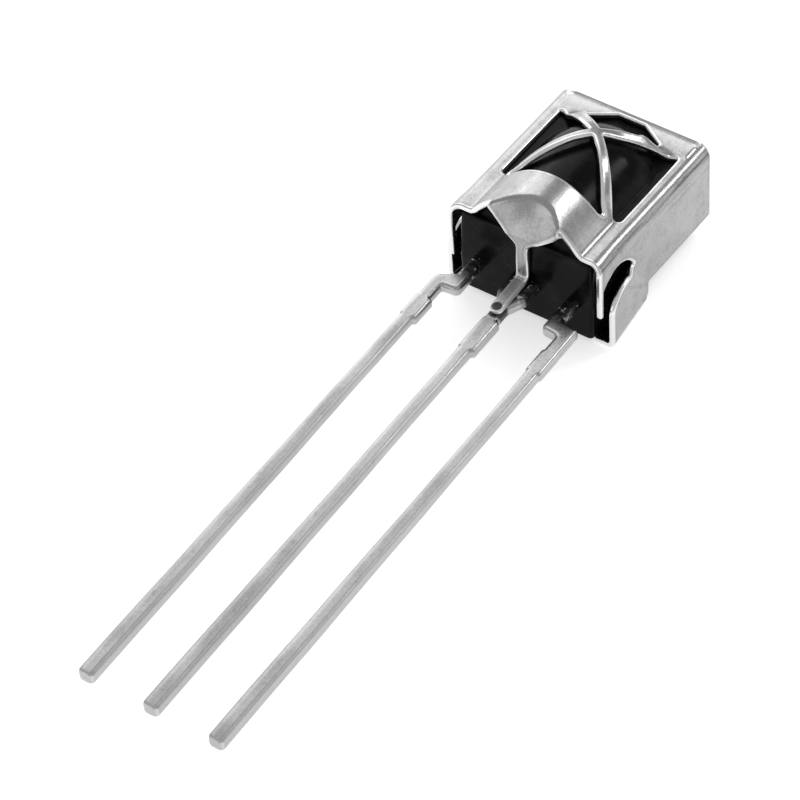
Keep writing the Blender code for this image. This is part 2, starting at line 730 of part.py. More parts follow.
def outer_lead_loops(edges):
    # Right-hand lead: bond post, exit, jog out to the pitch, dam-bar stub and the long lead
    jog_end, jog_round, step_out, stub_in, stub_out = edges
    inner = PITCH - LEAD_WIDTH / 2
    outer = PITCH + LEAD_WIDTH / 2
    near = POST_X - POST_HALF
    far = POST_X + POST_HALF
    foot = POST_TOP - POST_SIZE
    post = [
        (near, POST_TOP, EDGE_ROUND), (near, foot, EDGE_ROUND),
        (EXIT_INNER, foot - POST_TAPER, EDGE_ROUND),
    ]
    end = [
        (EXIT_OUTER, foot - POST_TAPER, EDGE_ROUND), (far, foot, EDGE_ROUND),
        (far, POST_TOP, EDGE_ROUND),
    ]
    leg = [
        (EXIT_INNER, SHOULDER_Y, SHOULDER_ROUND), (inner, SHOULDER_Y - STUB_RAMP, EDGE_ROUND),
        (inner, STUB_TOP, STUB_ROUND), (inner - stub_in, STUB_TOP - STUB_RAMP, STUB_ROUND),
        (inner - stub_in, STUB_END, STUB_ROUND), (inner, STUB_END - STUB_RAMP, STUB_ROUND),
        (inner, -LEAD_LENGTH, TIP_CHAMFER), (outer, -LEAD_LENGTH, TIP_CHAMFER),
        (outer, STUB_END - STUB_RAMP, STUB_ROUND), (outer + stub_out, STUB_END, STUB_ROUND),
        (outer + stub_out, STUB_TOP - STUB_RAMP, STUB_ROUND),
        (outer + step_out, STUB_TOP, STUB_ROUND),
        (outer + step_out, jog_end, jog_round), (EXIT_OUTER, JOG_START, EDGE_ROUND),
    ]
    anchor = (ANCHOR_RADIUS, ANCHOR_RADIUS)
    hole = ellipse((POST_X, POST_TOP - ANCHOR_DROP), anchor, 0, 330, 11)
    exit_low = [(EXIT_INNER, -EXIT_RUN), (EXIT_OUTER, -EXIT_RUN)]
    pocket = [p[:2] for p in post] + exit_low + [p[:2] for p in end]
    return fillet(post + leg + end), hole, pocket


def centre_lead_loops():
    # Centre lead: die paddle, neck, flared exit, dam-bar stubs and the long lead
    half = LEAD_WIDTH / 2
    paddle = [
        (PADDLE_HALF, PADDLE_TOP, NECK_ROUNDS), (PADDLE_HALF, PADDLE_FOOT, NECK_ROUNDS),
        (NECK_HALF, PADDLE_FOOT - PADDLE_TAPER, NECK_ROUNDS), (NECK_HALF, NECK_FOOT, NECK_ROUNDS),
        (EXIT_FLARE, NECK_FOOT - PADDLE_TAPER, STUB_ROUND),
    ]
    sides = []
    for stub in CENTRE_STUBS:
        sides.append(paddle + [
            (EXIT_FLARE, FLARE_START, EDGE_ROUND), (half, FLARE_END, EDGE_ROUND),
            (half, CENTRE_STUB_TOP, STUB_ROUND),
            (half + stub, CENTRE_STUB_TOP - STUB_RAMP, STUB_ROUND),
            (half + stub, CENTRE_STUB_END, STUB_ROUND),
            (half, CENTRE_STUB_END - STUB_RAMP, STUB_ROUND),
            (half, -LEAD_LENGTH, TIP_CHAMFER),
        ])
    right, left = sides
    left = [(-x, y, r) for x, y, r in reversed(left)]
    pocket = [p[:2] for p in paddle] + [(EXIT_FLARE, -EXIT_RUN), (-EXIT_FLARE, -EXIT_RUN)]
    pocket += [(-x, y) for x, y, _ in reversed(paddle)]
    return fillet(right + left), pocket


def build_leads(made):
    bend = [[(-PITCH * 2, DROOP_START), (PITCH * 2, DROOP_START)]]
    for name, hand, edges in (("lead_supply", 1, RIGHT_EDGES), ("lead_output", -1, LEFT_EDGES)):
        loop, hole, pocket = outer_lead_loops(edges)
        points, faces = stamped([loop, hole], bend, [], lead_faces)
        add_object(name, [(hand * x, y, z) for x, y, z in points], faces, made)
    loop, paddle = centre_lead_loops()
    points, faces = stamped([loop], bend, [], lead_faces)
    add_object("lead_ground", points, faces, made)
    return [pocket, [(-x, y) for x, y in pocket], paddle]


def build_chips(silicon, glue):
    glue_low = LEAD_TOP + CHIP_GAP
    glue_top = glue_low + GLUE_THICK
    chip_low = glue_top + CHIP_GAP
    chip_top = chip_low + CHIP_THICK
    chips = [
        ("photodiode", silicon[0], LENS_Y, DIODE_SIDE, DIODE_SIDE),
        ("receiver_ic", silicon[1], RECEIVER_Y, RECEIVER_WIDTH, RECEIVER_HEIGHT),
    ]
    pockets = []
    for name, made, y, width, height in chips:
        loop = box_loop(-width / 2, width / 2, y - height / 2, y + height / 2)
        pad = offset(loop, GLUE_MARGIN)
        add_object(name + "_die", *prism(loop, chip_low, chip_top), made)
        add_object(name + "_adhesive", *prism(pad, glue_low, glue_top), glue)
        pockets.append((offset(pad, MOULD_GAP), LEAD_TOP - MOULD_GAP, chip_top + MOULD_GAP))
    return pockets, chip_top


def wire_path(start, end):
    # Loop of a bond wire between two bonds, highest at its middle
    start = np.array(start)
    end = np.array(end)
    stations = [0.0, 0.02, 0.05, 0.12, 0.25, 0.4, 0.55, 0.7, 0.85, 0.95, 1.0]
    lift = np.array((0.0, 0.0, WIRE_LOOP * 4))
    path = [start + (end - start) * t + lift * t * (1 - t) for t in stations]
    radii = [BALL_RADIUS, BALL_RADIUS] + [WIRE_RADIUS] * (len(stations) - 2)
    return path, radii


def build_wires(chip_top, made):
    low = LEAD_TOP + CHIP_GAP + BALL_RADIUS
    high = chip_top + CHIP_GAP + BALL_RADIUS
    diode_y = LENS_Y - DIODE_SIDE / 2 + PAD_INSET
    pad_y = RECEIVER_Y + RECEIVER_HEIGHT / 2 - PAD_INSET
    pad_x = RECEIVER_WIDTH / 2 - PAD_INSET
    foot_y = RECEIVER_Y - RECEIVER_HEIGHT / 2 + PAD_INSET
    bonds = [
        ("wire_diode_signal", (DIODE_WIRE_X, diode_y, high), (DIODE_WIRE_X, pad_y, high)),
        ("wire_diode_bias", (-DIODE_WIRE_X, diode_y, high), (-DIODE_WIRE_X, pad_y, high)),
        ("wire_output", (-pad_x, RECEIVER_Y, high), (-POST_X, RECEIVER_Y, low)),
        ("wire_supply", (pad_x, RECEIVER_Y, high), (POST_X, RECEIVER_Y, low)),
        ("wire_ground", (0.0, foot_y, high), (0.0, PADDLE_FOOT + PAD_INSET, low)),
    ]
    pockets = []
    for name, start, end in bonds:
        path, radii = wire_path(start, end)
        add_object(name, *tube(path, radii), made)
        first = path[0] - path[1]
        last = path[-1] - path[-2]
        path[0] = path[0] + first / np.linalg.norm(first) * MOULD_GAP * 2
        path[-1] = path[-1] + last / np.linalg.norm(last) * MOULD_GAP * 2
        pockets.append(tube(path, [radius + MOULD_GAP for radius in radii]))
    return pockets


def lens_solid():
    # Rounded ridge over the chips: a round end at the top, a sloping end at the foot
    rings = 9
    turns = 14
    slope = math.tan(math.radians(FLAP_ANGLE))
    points = []
    sizes = []
    for k in range(rings + 1):
        radius = LENS_HALF * math.cos(math.pi / 2 * k / rings)
        rise = math.sqrt(LENS_CURVE ** 2 - radius ** 2) - (LENS_CURVE - LENS_RISE)
        sizes.append((radius, rise))
    sizes = [(LENS_HALF, -LENS_SINK)] + sizes
    for radius, rise in sizes:
        foot = LENS_FOOT + rise / slope
        points.append((radius, foot, BODY_FRONT + rise))
        for k in range(turns + 1):
            angle = math.pi * k / turns
            points.append((radius * math.cos(angle), LENS_Y + radius * math.sin(angle), BODY_FRONT + rise))
        points.append((-radius, foot, BODY_FRONT + rise))
    row = turns + 3
    faces = []
    for k in range(len(sizes) - 1):
        for i in range(row - 1):
            a = k * row + i
            faces.append((a, a + 1, a + 1 + row, a + row))
    last = len(sizes) - 1
    faces.append(tuple(range(row - 1, -1, -1)))
    up = [k * row for k in range(last + 1)]
    down = [k * row + row - 1 for k in range(last - 1, -1, -1)]
    faces.append(tuple(up + down))
    return points, faces


def tidy(thing):
    # Merges the points that fall on each other where the lens rings close
    work = bmesh.new()
    work.from_mesh(thing.data)
    bmesh.ops.remove_doubles(work, verts=work.verts, dist=1e-7)
    bmesh.ops.dissolve_degenerate(work, edges=work.edges, dist=1e-7)
    bmesh.ops.recalc_face_normals(work, faces=work.faces)
    work.to_mesh(thing.data)
    work.free()


def body_solid():
    # Block with draft to both sides of the parting line at the leads
    levels = [
        (BODY_BACK, DRAFT_BACK + BODY_EDGE), (BODY_BACK + BODY_EDGE, DRAFT_BACK),
        (LEAD_Z, 0.0), (BODY_FRONT - BODY_EDGE, DRAFT_FRONT), (BODY_FRONT, DRAFT_FRONT + BODY_EDGE),
    ]
    points = []
    for z, inset in levels:
        x = BODY_HALF - inset
        low = BODY_FOOT + inset / 2
        high = BODY_TOP - inset
        loop = fillet([
            (-x, low, FOOT_CORNER), (x, low, FOOT_CORNER),
            (x, high, BODY_CORNER), (-x, high, BODY_CORNER),
        ])
        points += [(px, py, z) for px, py in loop]
    row = len(points) // len(levels)
    faces = [tuple(range(row - 1, -1, -1)), tuple(range((len(levels) - 1) * row, len(levels) * row))]
    for k in range(len(levels) - 1):
        for i in range(row):
            a = k * row + i
            b = k * row + (i + 1) % row
            faces.append((a, b, b + row, a + row))
    return points, faces


def build_body(pockets, chip_pockets, wire_pockets, made):
    body = add_object("epoxy_body", *body_solid(), made, 25.0)
    lens = add_object("lens_form", *lens_solid())
    tidy(lens)
    cut(body, lens, "UNION")
    for i, y in enumerate(EJECTOR_Y):
        loop = ellipse((0.0, y), (EJECTOR_RADIUS, EJECTOR_RADIUS), 0, 345, 23)
        solid = prism(loop, -BODY_BACK, BODY_BACK + EJECTOR_DEPTH)
        cut(body, add_object("ejector_mark_%d" % (i + 1), *solid))
    for i, loop in enumerate(pockets):
        low = LEAD_TOP - LEAD_THICK - MOULD_GAP
        solid = prism(offset(loop, MOULD_GAP), low, LEAD_TOP + MOULD_GAP)
        cut(body, add_object("lead_pocket_%d" % (i + 1), *solid))
    for i, (loop, low, high) in enumerate(chip_pockets):
        cut(body, add_object("chip_pocket_%d" % (i + 1), *prism(loop, low, high)))
    for i, solid in enumerate(wire_pockets):
        cut(body, add_object("wire_pocket_%d" % (i + 1), *solid))


clear_scene()
tinned = material("tinned_steel", (0.72, 0.73, 0.74), 1.0, 0.25)
plated = material("tinned_lead", (0.74, 0.74, 0.74), 1.0, 0.30)
epoxy = material("infrared_epoxy", (0.012, 0.012, 0.014), 0.0, 0.18)
diode = material("photodiode_silicon", (0.10, 0.12, 0.22), 0.3, 0.20)
chip = material("receiver_silicon", (0.30, 0.31, 0.33), 0.6, 0.25)
silver = material("silver_adhesive", (0.55, 0.55, 0.56), 0.4, 0.60)
gold = material("gold_wire", (0.95, 0.70, 0.25), 1.0, 0.20)
build_shield(tinned)
lead_pockets = build_leads(plated)
chip_boxes, chip_face = build_chips((diode, chip), silver)
wire_tubes = build_wires(chip_face, gold)
build_body(lead_pockets, chip_boxes, wire_tubes, epoxy)
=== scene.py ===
# Infrared receiver module: folded shield, leads and black body with their finishes
import bpy
import math
import numpy as np
from mathutils import Matrix, Vector
from mathutils.geometry import delaunay_2d_cdt


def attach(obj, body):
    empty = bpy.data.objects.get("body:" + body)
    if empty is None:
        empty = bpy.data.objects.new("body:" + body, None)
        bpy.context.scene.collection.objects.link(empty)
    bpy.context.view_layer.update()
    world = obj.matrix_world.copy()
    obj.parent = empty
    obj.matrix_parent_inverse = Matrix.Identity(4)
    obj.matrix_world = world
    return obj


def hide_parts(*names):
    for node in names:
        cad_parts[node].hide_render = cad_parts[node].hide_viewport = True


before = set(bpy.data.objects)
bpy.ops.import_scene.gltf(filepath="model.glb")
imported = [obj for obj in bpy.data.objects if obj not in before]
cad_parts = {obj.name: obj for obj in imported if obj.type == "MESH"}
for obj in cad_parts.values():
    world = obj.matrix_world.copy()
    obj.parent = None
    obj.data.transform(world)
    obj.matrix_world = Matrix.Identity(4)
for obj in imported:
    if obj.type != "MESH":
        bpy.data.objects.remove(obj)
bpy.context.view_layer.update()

mm = 0.001
shiftY = 7.25  # from the drawing's zero, the shield's foot, to the middle of the module


# Small tools for flat outlines, all lengths in millimetres

def smoothStep(value, low, high):
    # 3t^2 - 2t^3 with t running from 0 at low to 1 at high
    t = np.clip((value - low) / (high - low), 0.0, 1.0)
    return t * t * (3 - 2 * t)


def filletLoop(corners, steps=6):
    # closed outline from (x, y, radius) corners: each corner gives way to an arc that
    # touches both of its edges
    out = []
    for k, (x, y, radius) in enumerate(corners):
        here = np.array((x, y))
        a = np.array(corners[k - 1][:2]) - here
        b = np.array(corners[(k + 1) % len(corners)][:2]) - here
        a = a / np.linalg.norm(a)
        b = b / np.linalg.norm(b)
        if radius <= 0 or np.linalg.norm(a + b) < 1e-6:
            out.append(here[None])
            continue
        half = math.acos(float(np.clip(a @ b, -1, 1))) / 2
        centre = here + (a + b) / np.linalg.norm(a + b) * radius / math.sin(half)
        start = here + a * radius / math.tan(half) - centre
        end = here + b * radius / math.tan(half) - centre
        first = math.atan2(start[1], start[0])
        sweep = (math.atan2(end[1], end[0]) - first + math.pi) % (2 * math.pi) - math.pi
        angles = first + sweep * np.linspace(0, 1, steps + 1)
        out.append(centre + radius * np.stack([np.cos(angles), np.sin(angles)], axis=1))
    return np.vstack(out)


def arcPoints(centre, radii, first, last, steps):
    # points of an ellipse between two angles in degrees
    angles = np.radians(np.linspace(first, last, steps + 1))
    return np.array(centre) + np.array(radii) * np.stack([np.cos(angles), np.sin(angles)], axis=1)


def spread(loop, step):
    # the same closed outline with no point twice and no edge longer than step: each edge is
    # cut into n equal parts, at start + (end - start) * k / n
    loop = loop[np.linalg.norm(np.roll(loop, -1, axis=0) - loop, axis=1) > 1e-6]
    run = np.roll(loop, -1, axis=0) - loop
    parts = np.maximum(1, np.ceil(np.linalg.norm(run, axis=1) / step)).astype(int)
    edge = np.repeat(np.arange(len(loop)), parts)
    share = (np.arange(len(edge)) - (np.cumsum(parts) - parts)[edge]) / parts[edge]
    return loop[edge] + run[edge] * share[:, None]


def growLoop(loop, distance):
    # outline moved outwards by a distance along the mitre of each corner
    nxt = np.roll(loop, -1, axis=0)
    area = np.sum(loop[:, 0] * nxt[:, 1] - nxt[:, 0] * loop[:, 1])
    edge = nxt - loop
    edge = edge / np.linalg.norm(edge, axis=1)[:, None]
    n1 = np.stack([edge[:, 1], -edge[:, 0]], axis=1) * np.sign(area)
    n0 = np.roll(n1, 1, axis=0)
    return loop + (n0 + n1) * distance / (1 + np.sum(n0 * n1, axis=1))[:, None]


blockSize = 400  # points that are compared with an outline at one time


def inBlocks(points, work):
    # the same work on one block of points after another, which saves memory
    count = max(1, len(points) // blockSize)
    return np.concatenate([work(block) for block in np.array_split(points, count)])


def insideLoops(points, loops):
    # even-odd rule: a point is inside when a line to its right crosses an odd number of edges
    end = np.vstack(loops)
    start = np.vstack([np.roll(loop, 1, axis=0) for loop in loops])
    level = start[:, 1] == end[:, 1]
    (x0, y0), (x1, y1) = start[~level].T, end[~level].T

    def crossings(block):
        x, y = block[:, :1], block[:, 1:]
        passed = (y0 > y) != (y1 > y)
        return np.sum(passed & (x < x0 + (y - y0) * (x1 - x0) / (y1 - y0)), axis=1)

    return inBlocks(points, crossings) % 2 == 1


def edgeDistance(points, loops):
    # shortest distance from each point to the edges of the outlines
    start = np.vstack(loops)
    along = np.vstack([np.roll(loop, -1, axis=0) for loop in loops]) - start
    size = np.maximum(np.sum(along * along, axis=1), 1e-12)

    def shortest(block):
        gap = block[:, None] - start
        t = np.clip(np.sum(gap * along, axis=2) / size, 0, 1)
        return np.sqrt(np.min(np.sum((gap - t[:, :, None] * along) ** 2, axis=2), axis=1))

    return inBlocks(points, shortest)


def edgeSink(depth, radius):
    # r - sqrt(r^2 - (r - d)^2), for a point at distance d from an edge of radius r
    inward = np.maximum(0, radius - depth)
    return (radius - np.sqrt(np.maximum(0, radius ** 2 - inward ** 2)))[:, None]


# Meshes

meshing = dict(
    ringAngles=(22.5, 45, 67.5, 90),  # where the rounding of a cut edge has its rows of points
    flatRing=1.6,                     # one more row, in radii from the edge
    ringKeep=0.985,                   # a row's point stays if it is this near its true distance
    gridGap=0.035,                    # between the last row and the points of the grid
    edgeReach=0.3,                    # distance from the cut edge over which "edge" goes to 1
)


def sheetSkin(name, loops, grid, place, thick, radius, under, soften=None):
    # A sheet with rounded cut edges. Flat points go to the outer face through place(), then
    # sink along the normal near the cut edge, on both faces; a wall joins the two borders.
    # thick gives the thickness and soften the share of the rounding that a flat point keeps.
    m = meshing
    rings = list(radius * (1 - np.cos(np.radians(m["ringAngles"])))) + [radius * m["flatRing"]]
    points = [np.vstack(loops)]
    edges = []
    first = 0
    for loop in loops:
        ids = first + np.arange(len(loop))
        edges.append(np.stack([ids, np.roll(ids, -1)], axis=1))
        first += len(loop)
    for distance in rings:
        for k, loop in enumerate(loops):
            ring = growLoop(loop, -distance if k == 0 else distance)
            good = edgeDistance(ring, loops) > distance * m["ringKeep"]
            good &= insideLoops(ring, loops)
            ids = first + np.cumsum(good) - 1
            joined = good & np.roll(good, -1)
            edges.append(np.stack([ids, np.roll(ids, -1)], axis=1)[joined])
            points.append(ring[good])
            first += int(good.sum())
    clear = edgeDistance(grid, loops) > radius * m["flatRing"] + m["gridGap"]
    points.append(grid[clear & insideLoops(grid, loops)])
    flat = [Vector(p) for p in np.vstack(points)]
    flat, _, cells, _, _, _ = delaunay_2d_cdt(flat, np.vstack(edges).tolist(), [], 0, 1e-6)
    flat = np.array([tuple(p) for p in flat])
    cells = np.array(cells)
    cells = cells[insideLoops(flat[cells].mean(axis=1), loops)]
    used, cells = np.unique(cells, return_inverse=True)
    cells = cells.reshape(-1, 3)
    flat = flat[used]
    depth = edgeDistance(flat, loops)
    outer = place(flat)
    step = 1e-4
    normal = np.cross(place(flat + (step, 0)) - place(flat - (step, 0)),
                      place(flat + (0, step)) - place(flat - (0, step)))
    normal /= np.linalg.norm(normal, axis=1)[:, None]
    share = soften(flat)[:, None] if soften else 1.0
    upper = outer - normal * edgeSink(depth, radius) * share
    lower = outer - normal * (thick(flat) - edgeSink(depth, under) * share)
    sides = np.vstack([cells[:, [0, 1]], cells[:, [1, 2]], cells[:, [2, 0]]])
    keys = sides[:, 0] * len(flat) + sides[:, 1]
    rim = sides[~np.isin(keys, sides[:, 1] * len(flat) + sides[:, 0])]
    a, b = rim.T
    count = len(flat)
    walls = np.vstack([np.stack([b, a, a + count], axis=1),
                       np.stack([b, a + count, b + count], axis=1)])
    faces = np.vstack([cells, cells[:, ::-1] + count, walls])
    values = {"edge": np.clip(depth / m["edgeReach"], 0, 1), "blankU": flat[:, 0], "blankV": flat[:, 1]}
    values = {key: np.tile(value, 2) for key, value in values.items()}
    return addSkin(name, np.vstack([upper, lower]), faces, values)


def addSkin(name, points, faces, values=()):
    # mesh from millimetres in the drawing's frame to metres in the module's frame
    mesh = bpy.data.meshes.new(name)
    mesh.from_pydata(((points + (0, shiftY, 0)) * mm).tolist(), [], faces.tolist())
    for key in values:
        layer = mesh.attributes.new(key, "FLOAT", "POINT")
        layer.data.foreach_set("value", values[key].astype(np.float32))
    mesh.shade_smooth()
    piece = bpy.data.objects.new(name, mesh)
    bpy.context.scene.collection.objects.link(piece)
    print(name, len(faces), "faces")
    return piece


# Shader maths: a socket that understands + - * / and a few curves

class Sock:
    def __init__(self, tree, out):
        self.tree = tree
        self.out = out

    def node(self, kind, settings=(), outlet=0, **values):
        made = self.tree.nodes.new("ShaderNode" + kind)
        for key, value in dict(settings).items():
            if key == "stops":
                ramp = made.color_ramp
                while len(ramp.elements) < len(value):
                    ramp.elements.new(0.5)
                for spot, (at, tint) in zip(ramp.elements, value):
                    spot.position = at
                    spot.color = (*tint, 1) if isinstance(tint, tuple) else (tint, tint, tint, 1)
            else:
                setattr(made, key, value)
        for key, value in values.items():
            # i0, i1 and so on are places of sockets, and other keys are their names
            place = int(key[1:]) if key[1:].isdigit() else key.replace("_", " ")
            socket = made.inputs[place]
            if isinstance(value, Sock):
                self.tree.links.new(value.out, socket)
            else:
                socket.default_value = value
        return Sock(self.tree, made.outputs[outlet])

    def math(self, operation, a, b=None, c=None):
        values = {"i%d" % k: v for k, v in enumerate((a, b, c)) if v is not None}
        return self.node("Math", {"operation": operation}, **values)

    def __add__(self, other):
        return self.math("ADD", self, other)

    def __sub__(self, other):
        return self.math("SUBTRACT", self, other)

    def __mul__(self, other):
        return self.math("MULTIPLY", self, other)

    def __truediv__(self, other):
        return self.math("DIVIDE", self, other)

    def __radd__(self, other):
        return self.math("ADD", other, self)

    def __rsub__(self, other):
        return self.math("SUBTRACT", other, self)

    def __rmul__(self, other):
        return self.math("MULTIPLY", other, self)

    def ramp(self, low, high, bottom=0.0, top=1.0):
        # smooth change from bottom to top while this value goes from low to high
        return self.node("MapRange", {"interpolation_type": "SMOOTHSTEP"}, Value=self,
                         From_Min=low, From_Max=high, To_Min=bottom, To_Max=top)

    def near(self, centre, width):
        # 1 at the centre, falling smoothly to 0 a width away
        return 1 - self.math("ABSOLUTE", self - centre).ramp(0.0, width)

    def tint(self, low, high):
        # colour between two given ones
        values = {"i0": self, "i6": (*low, 1) if isinstance(low, tuple) else low,
                  "i7": (*high, 1) if isinstance(high, tuple) else high}
        return self.node("Mix", {"data_type": "RGBA"}, outlet=2, **values)


def grey(tone):
    return (tone, tone, tone)


def finish(name, metallic=0.0, specular=0.5):
    # a new material with its Principled shader, and the start of its maths
    made = bpy.data.materials.new(name)
    made.use_nodes = True
    shader = made.node_tree.nodes["Principled BSDF"]
    shader.inputs["Metallic"].default_value = metallic
    shader.inputs["Specular IOR Level"].default_value = specular
    return made, shader, Sock(made.node_tree, None)


def connect(shader, start, **values):
    for key, value in values.items():
        start.tree.links.new(value.out, shader.inputs[key.replace("_", " ")])


def attribute(start, name):
    return start.node("Attribute", {"attribute_name": name}, outlet=2)


def grain(start, scale, detail=3.0, stretch=(1, 1, 1)):
    # noise on the object's own coordinates, in cycles per millimetre, stretched by axis
    place = start.node("TexCoord", outlet=3)
    sized = start.node("Mapping", Vector=place, Scale=tuple(scale * k / mm for k in stretch))
    return start.node("TexNoise", Vector=sized, Scale=1.0, Detail=detail, Roughness=0.55)


def bump(start, height, strength, distance):
    return start.node("Bump", Height=height, Strength=strength, Distance=distance * mm)


# The leads, stamped from one strip

leads = dict(
    pitch=2.54, width=0.50, thick=0.42, length=21.50,
    depth=2.24,                        # middle of the strip, behind the shield's front
    droop=2.7, droopStart=-0.25,       # degrees, and where the leads begin to fall
    edgeRound=0.13, tipRound=0.16, bendRound=0.08, shoulderRound=0.22, stubRound=0.08, paddleRound=0.10,
    tinCoat=0.045, coatStart=-4.0,     # thickness of the dipped tin at the tip, and where it begins
    waver=0.010, waverPitch=1.1, waverPhase=0.7, waverRange=(3.6, 6.0), waverAcross=0.6, waverUp=0.5,
    exitInner=1.66, exitOuter=2.14, shoulderY=-1.72, jogStart=-1.02,
    stubTop=-2.45, stubEnd=-3.50, centreStubTop=-2.20, centreStubEnd=-3.75, ramp=0.06,
    # foot of the jog, its rounding, step outwards, inner stub and outer stub
    left=(-1.42, 0.35, 0.00, 0.12, 0.05), right=(-1.20, 0.12, 0.05, 0.06, 0.06),
    centreStubs=(0.12, 0.05), flare=0.56, flareStart=-0.95, flareEnd=-1.60, flareRound=0.03,
    postHalf=0.36, postTop=2.30, postLength=1.00, postTaper=0.30, postX=2.00,
    anchorDrop=0.75, anchor=0.16, anchorPoints=24,    # the hole in the bond post that the resin fills
    paddleHalf=1.20, paddleFoot=1.25, paddleTop=5.50, neckHalf=0.30, neckFoot=0.55, neckTaper=0.25,
    spacing=0.14, gridStep=0.12, gridHalf=30,
)


def tinCoat(v):
    # the dipped tin grows thicker towards the tips
    return leads["tinCoat"] * smoothStep(-v, -leads["coatStart"], leads["length"])


def formedLead(flat):
    # straight upper face that falls away by the droop beyond its start, with a slow waver;
    # the tin widens it about its middle line
    s = leads
    u, v = flat.T
    coat = tinCoat(v)
    middle = np.round(u / s["pitch"]) * s["pitch"]
    fall = leadFall * np.maximum(0.0, s["droopStart"] - v)
    waver = s["waver"] * np.sin(v * s["waverPitch"] + s["waverPhase"]) * smoothStep(-v, *s["waverRange"])
    x = u + (u - middle) * coat / (s["width"] / 2) + waver * s["waverAcross"]
    return np.stack([x, v, leadTop - fall - np.abs(waver) * s["waverUp"] + coat], axis=1)


def leadThickness(flat):
    # the strip and the tin on both of its faces
    return (leads["thick"] + 2 * tinCoat(flat[:, 1]))[:, None]


def outerLeadLoops(edges):
    # bond post, exit, jog out to the pitch, dam-bar stubs and the long lead, right hand
    s = leads
    jogEnd, jogRound, stepOut, stubIn, stubOut = edges
    inner, outer = s["pitch"] - s["width"] / 2, s["pitch"] + s["width"] / 2
    near, far, post = s["postX"] - s["postHalf"], s["postX"] + s["postHalf"], s["postTop"]
    foot = post - s["postLength"]
    exitTop, shoulder, tip = foot - s["postTaper"], s["shoulderY"], -s["length"]
    top, topLow = s["stubTop"], s["stubTop"] - s["ramp"]
    end, endLow = s["stubEnd"], s["stubEnd"] - s["ramp"]
    bend, stub = s["bendRound"], s["stubRound"]
    loop = filletLoop([
        (near, post, bend), (near, foot, bend), (s["exitInner"], exitTop, bend),
        (s["exitInner"], shoulder, s["shoulderRound"]), (inner, shoulder - s["ramp"], bend),
        (inner, top, stub), (inner - stubIn, topLow, stub), (inner - stubIn, end, stub),
        (inner, endLow, stub), (inner, tip, s["tipRound"]), (outer, tip, s["tipRound"]),
        (outer, endLow, stub), (outer + stubOut, end, stub), (outer + stubOut, topLow, stub),
        (outer + stepOut, top, stub), (outer + stepOut, jogEnd, jogRound),
        (s["exitOuter"], s["jogStart"], bend), (s["exitOuter"], exitTop, bend),
        (far, foot, bend), (far, post, bend)])
    radii, turn = (s["anchor"], s["anchor"]), 360 / s["anchorPoints"]
    hole = arcPoints((s["postX"], post - s["anchorDrop"]), radii, 0, 360 - turn, s["anchorPoints"] - 1)
    return [spread(loop, s["spacing"]), hole]


def centreLeadLoops():
    # die paddle, neck, flared exit, dam-bar stubs and the long lead
    s = leads
    half, top, end, ramp = s["width"] / 2, s["centreStubTop"], s["centreStubEnd"], s["ramp"]
    bend, stub, paddle = s["bendRound"], s["stubRound"], s["paddleRound"]
    neckTop, flareTop = s["paddleFoot"] - s["neckTaper"], s["neckFoot"] - s["neckTaper"]
    sides = [[(s["paddleHalf"], s["paddleTop"], paddle), (s["paddleHalf"], s["paddleFoot"], paddle),
              (s["neckHalf"], neckTop, paddle), (s["neckHalf"], s["neckFoot"], paddle),
              (s["flare"], flareTop, s["flareRound"]), (s["flare"], s["flareStart"], bend),
              (half, s["flareEnd"], bend), (half, top, stub), (half + width, top - ramp, stub),
              (half + width, end, stub), (half, end - ramp, stub), (half, -s["length"], s["tipRound"])]
             for width in s["centreStubs"]]
    left = [(-x, y, radius) for x, y, radius in reversed(sides[1])]
    return [spread(filletLoop(sides[0] + left), s["spacing"])]


def buildLeads():
    # the left lead is drawn as a right one and mirrored; one grid of inner points does for all
    s = leads
    made = []
    rows = np.arange(-s["length"], s["paddleTop"], s["spacing"])
    columns = np.arange(-s["gridHalf"], s["gridHalf"] + 1) * s["gridStep"]
    grid = np.stack(np.meshgrid(columns, rows), axis=-1).reshape(-1, 2)
    for name, hand, loops in (("leadOutputSkin", -1, outerLeadLoops(s["left"])),
                              ("leadGroundSkin", 1, centreLeadLoops()),
                              ("leadSupplySkin", 1, outerLeadLoops(s["right"]))):
        loops = [loop * (hand, 1) for loop in loops]
        made.append(sheetSkin(name, loops, grid, formedLead, leadThickness, s["edgeRound"], s["edgeRound"]))
    return made


# The shield: one flat blank of tinned strip, pressed and folded

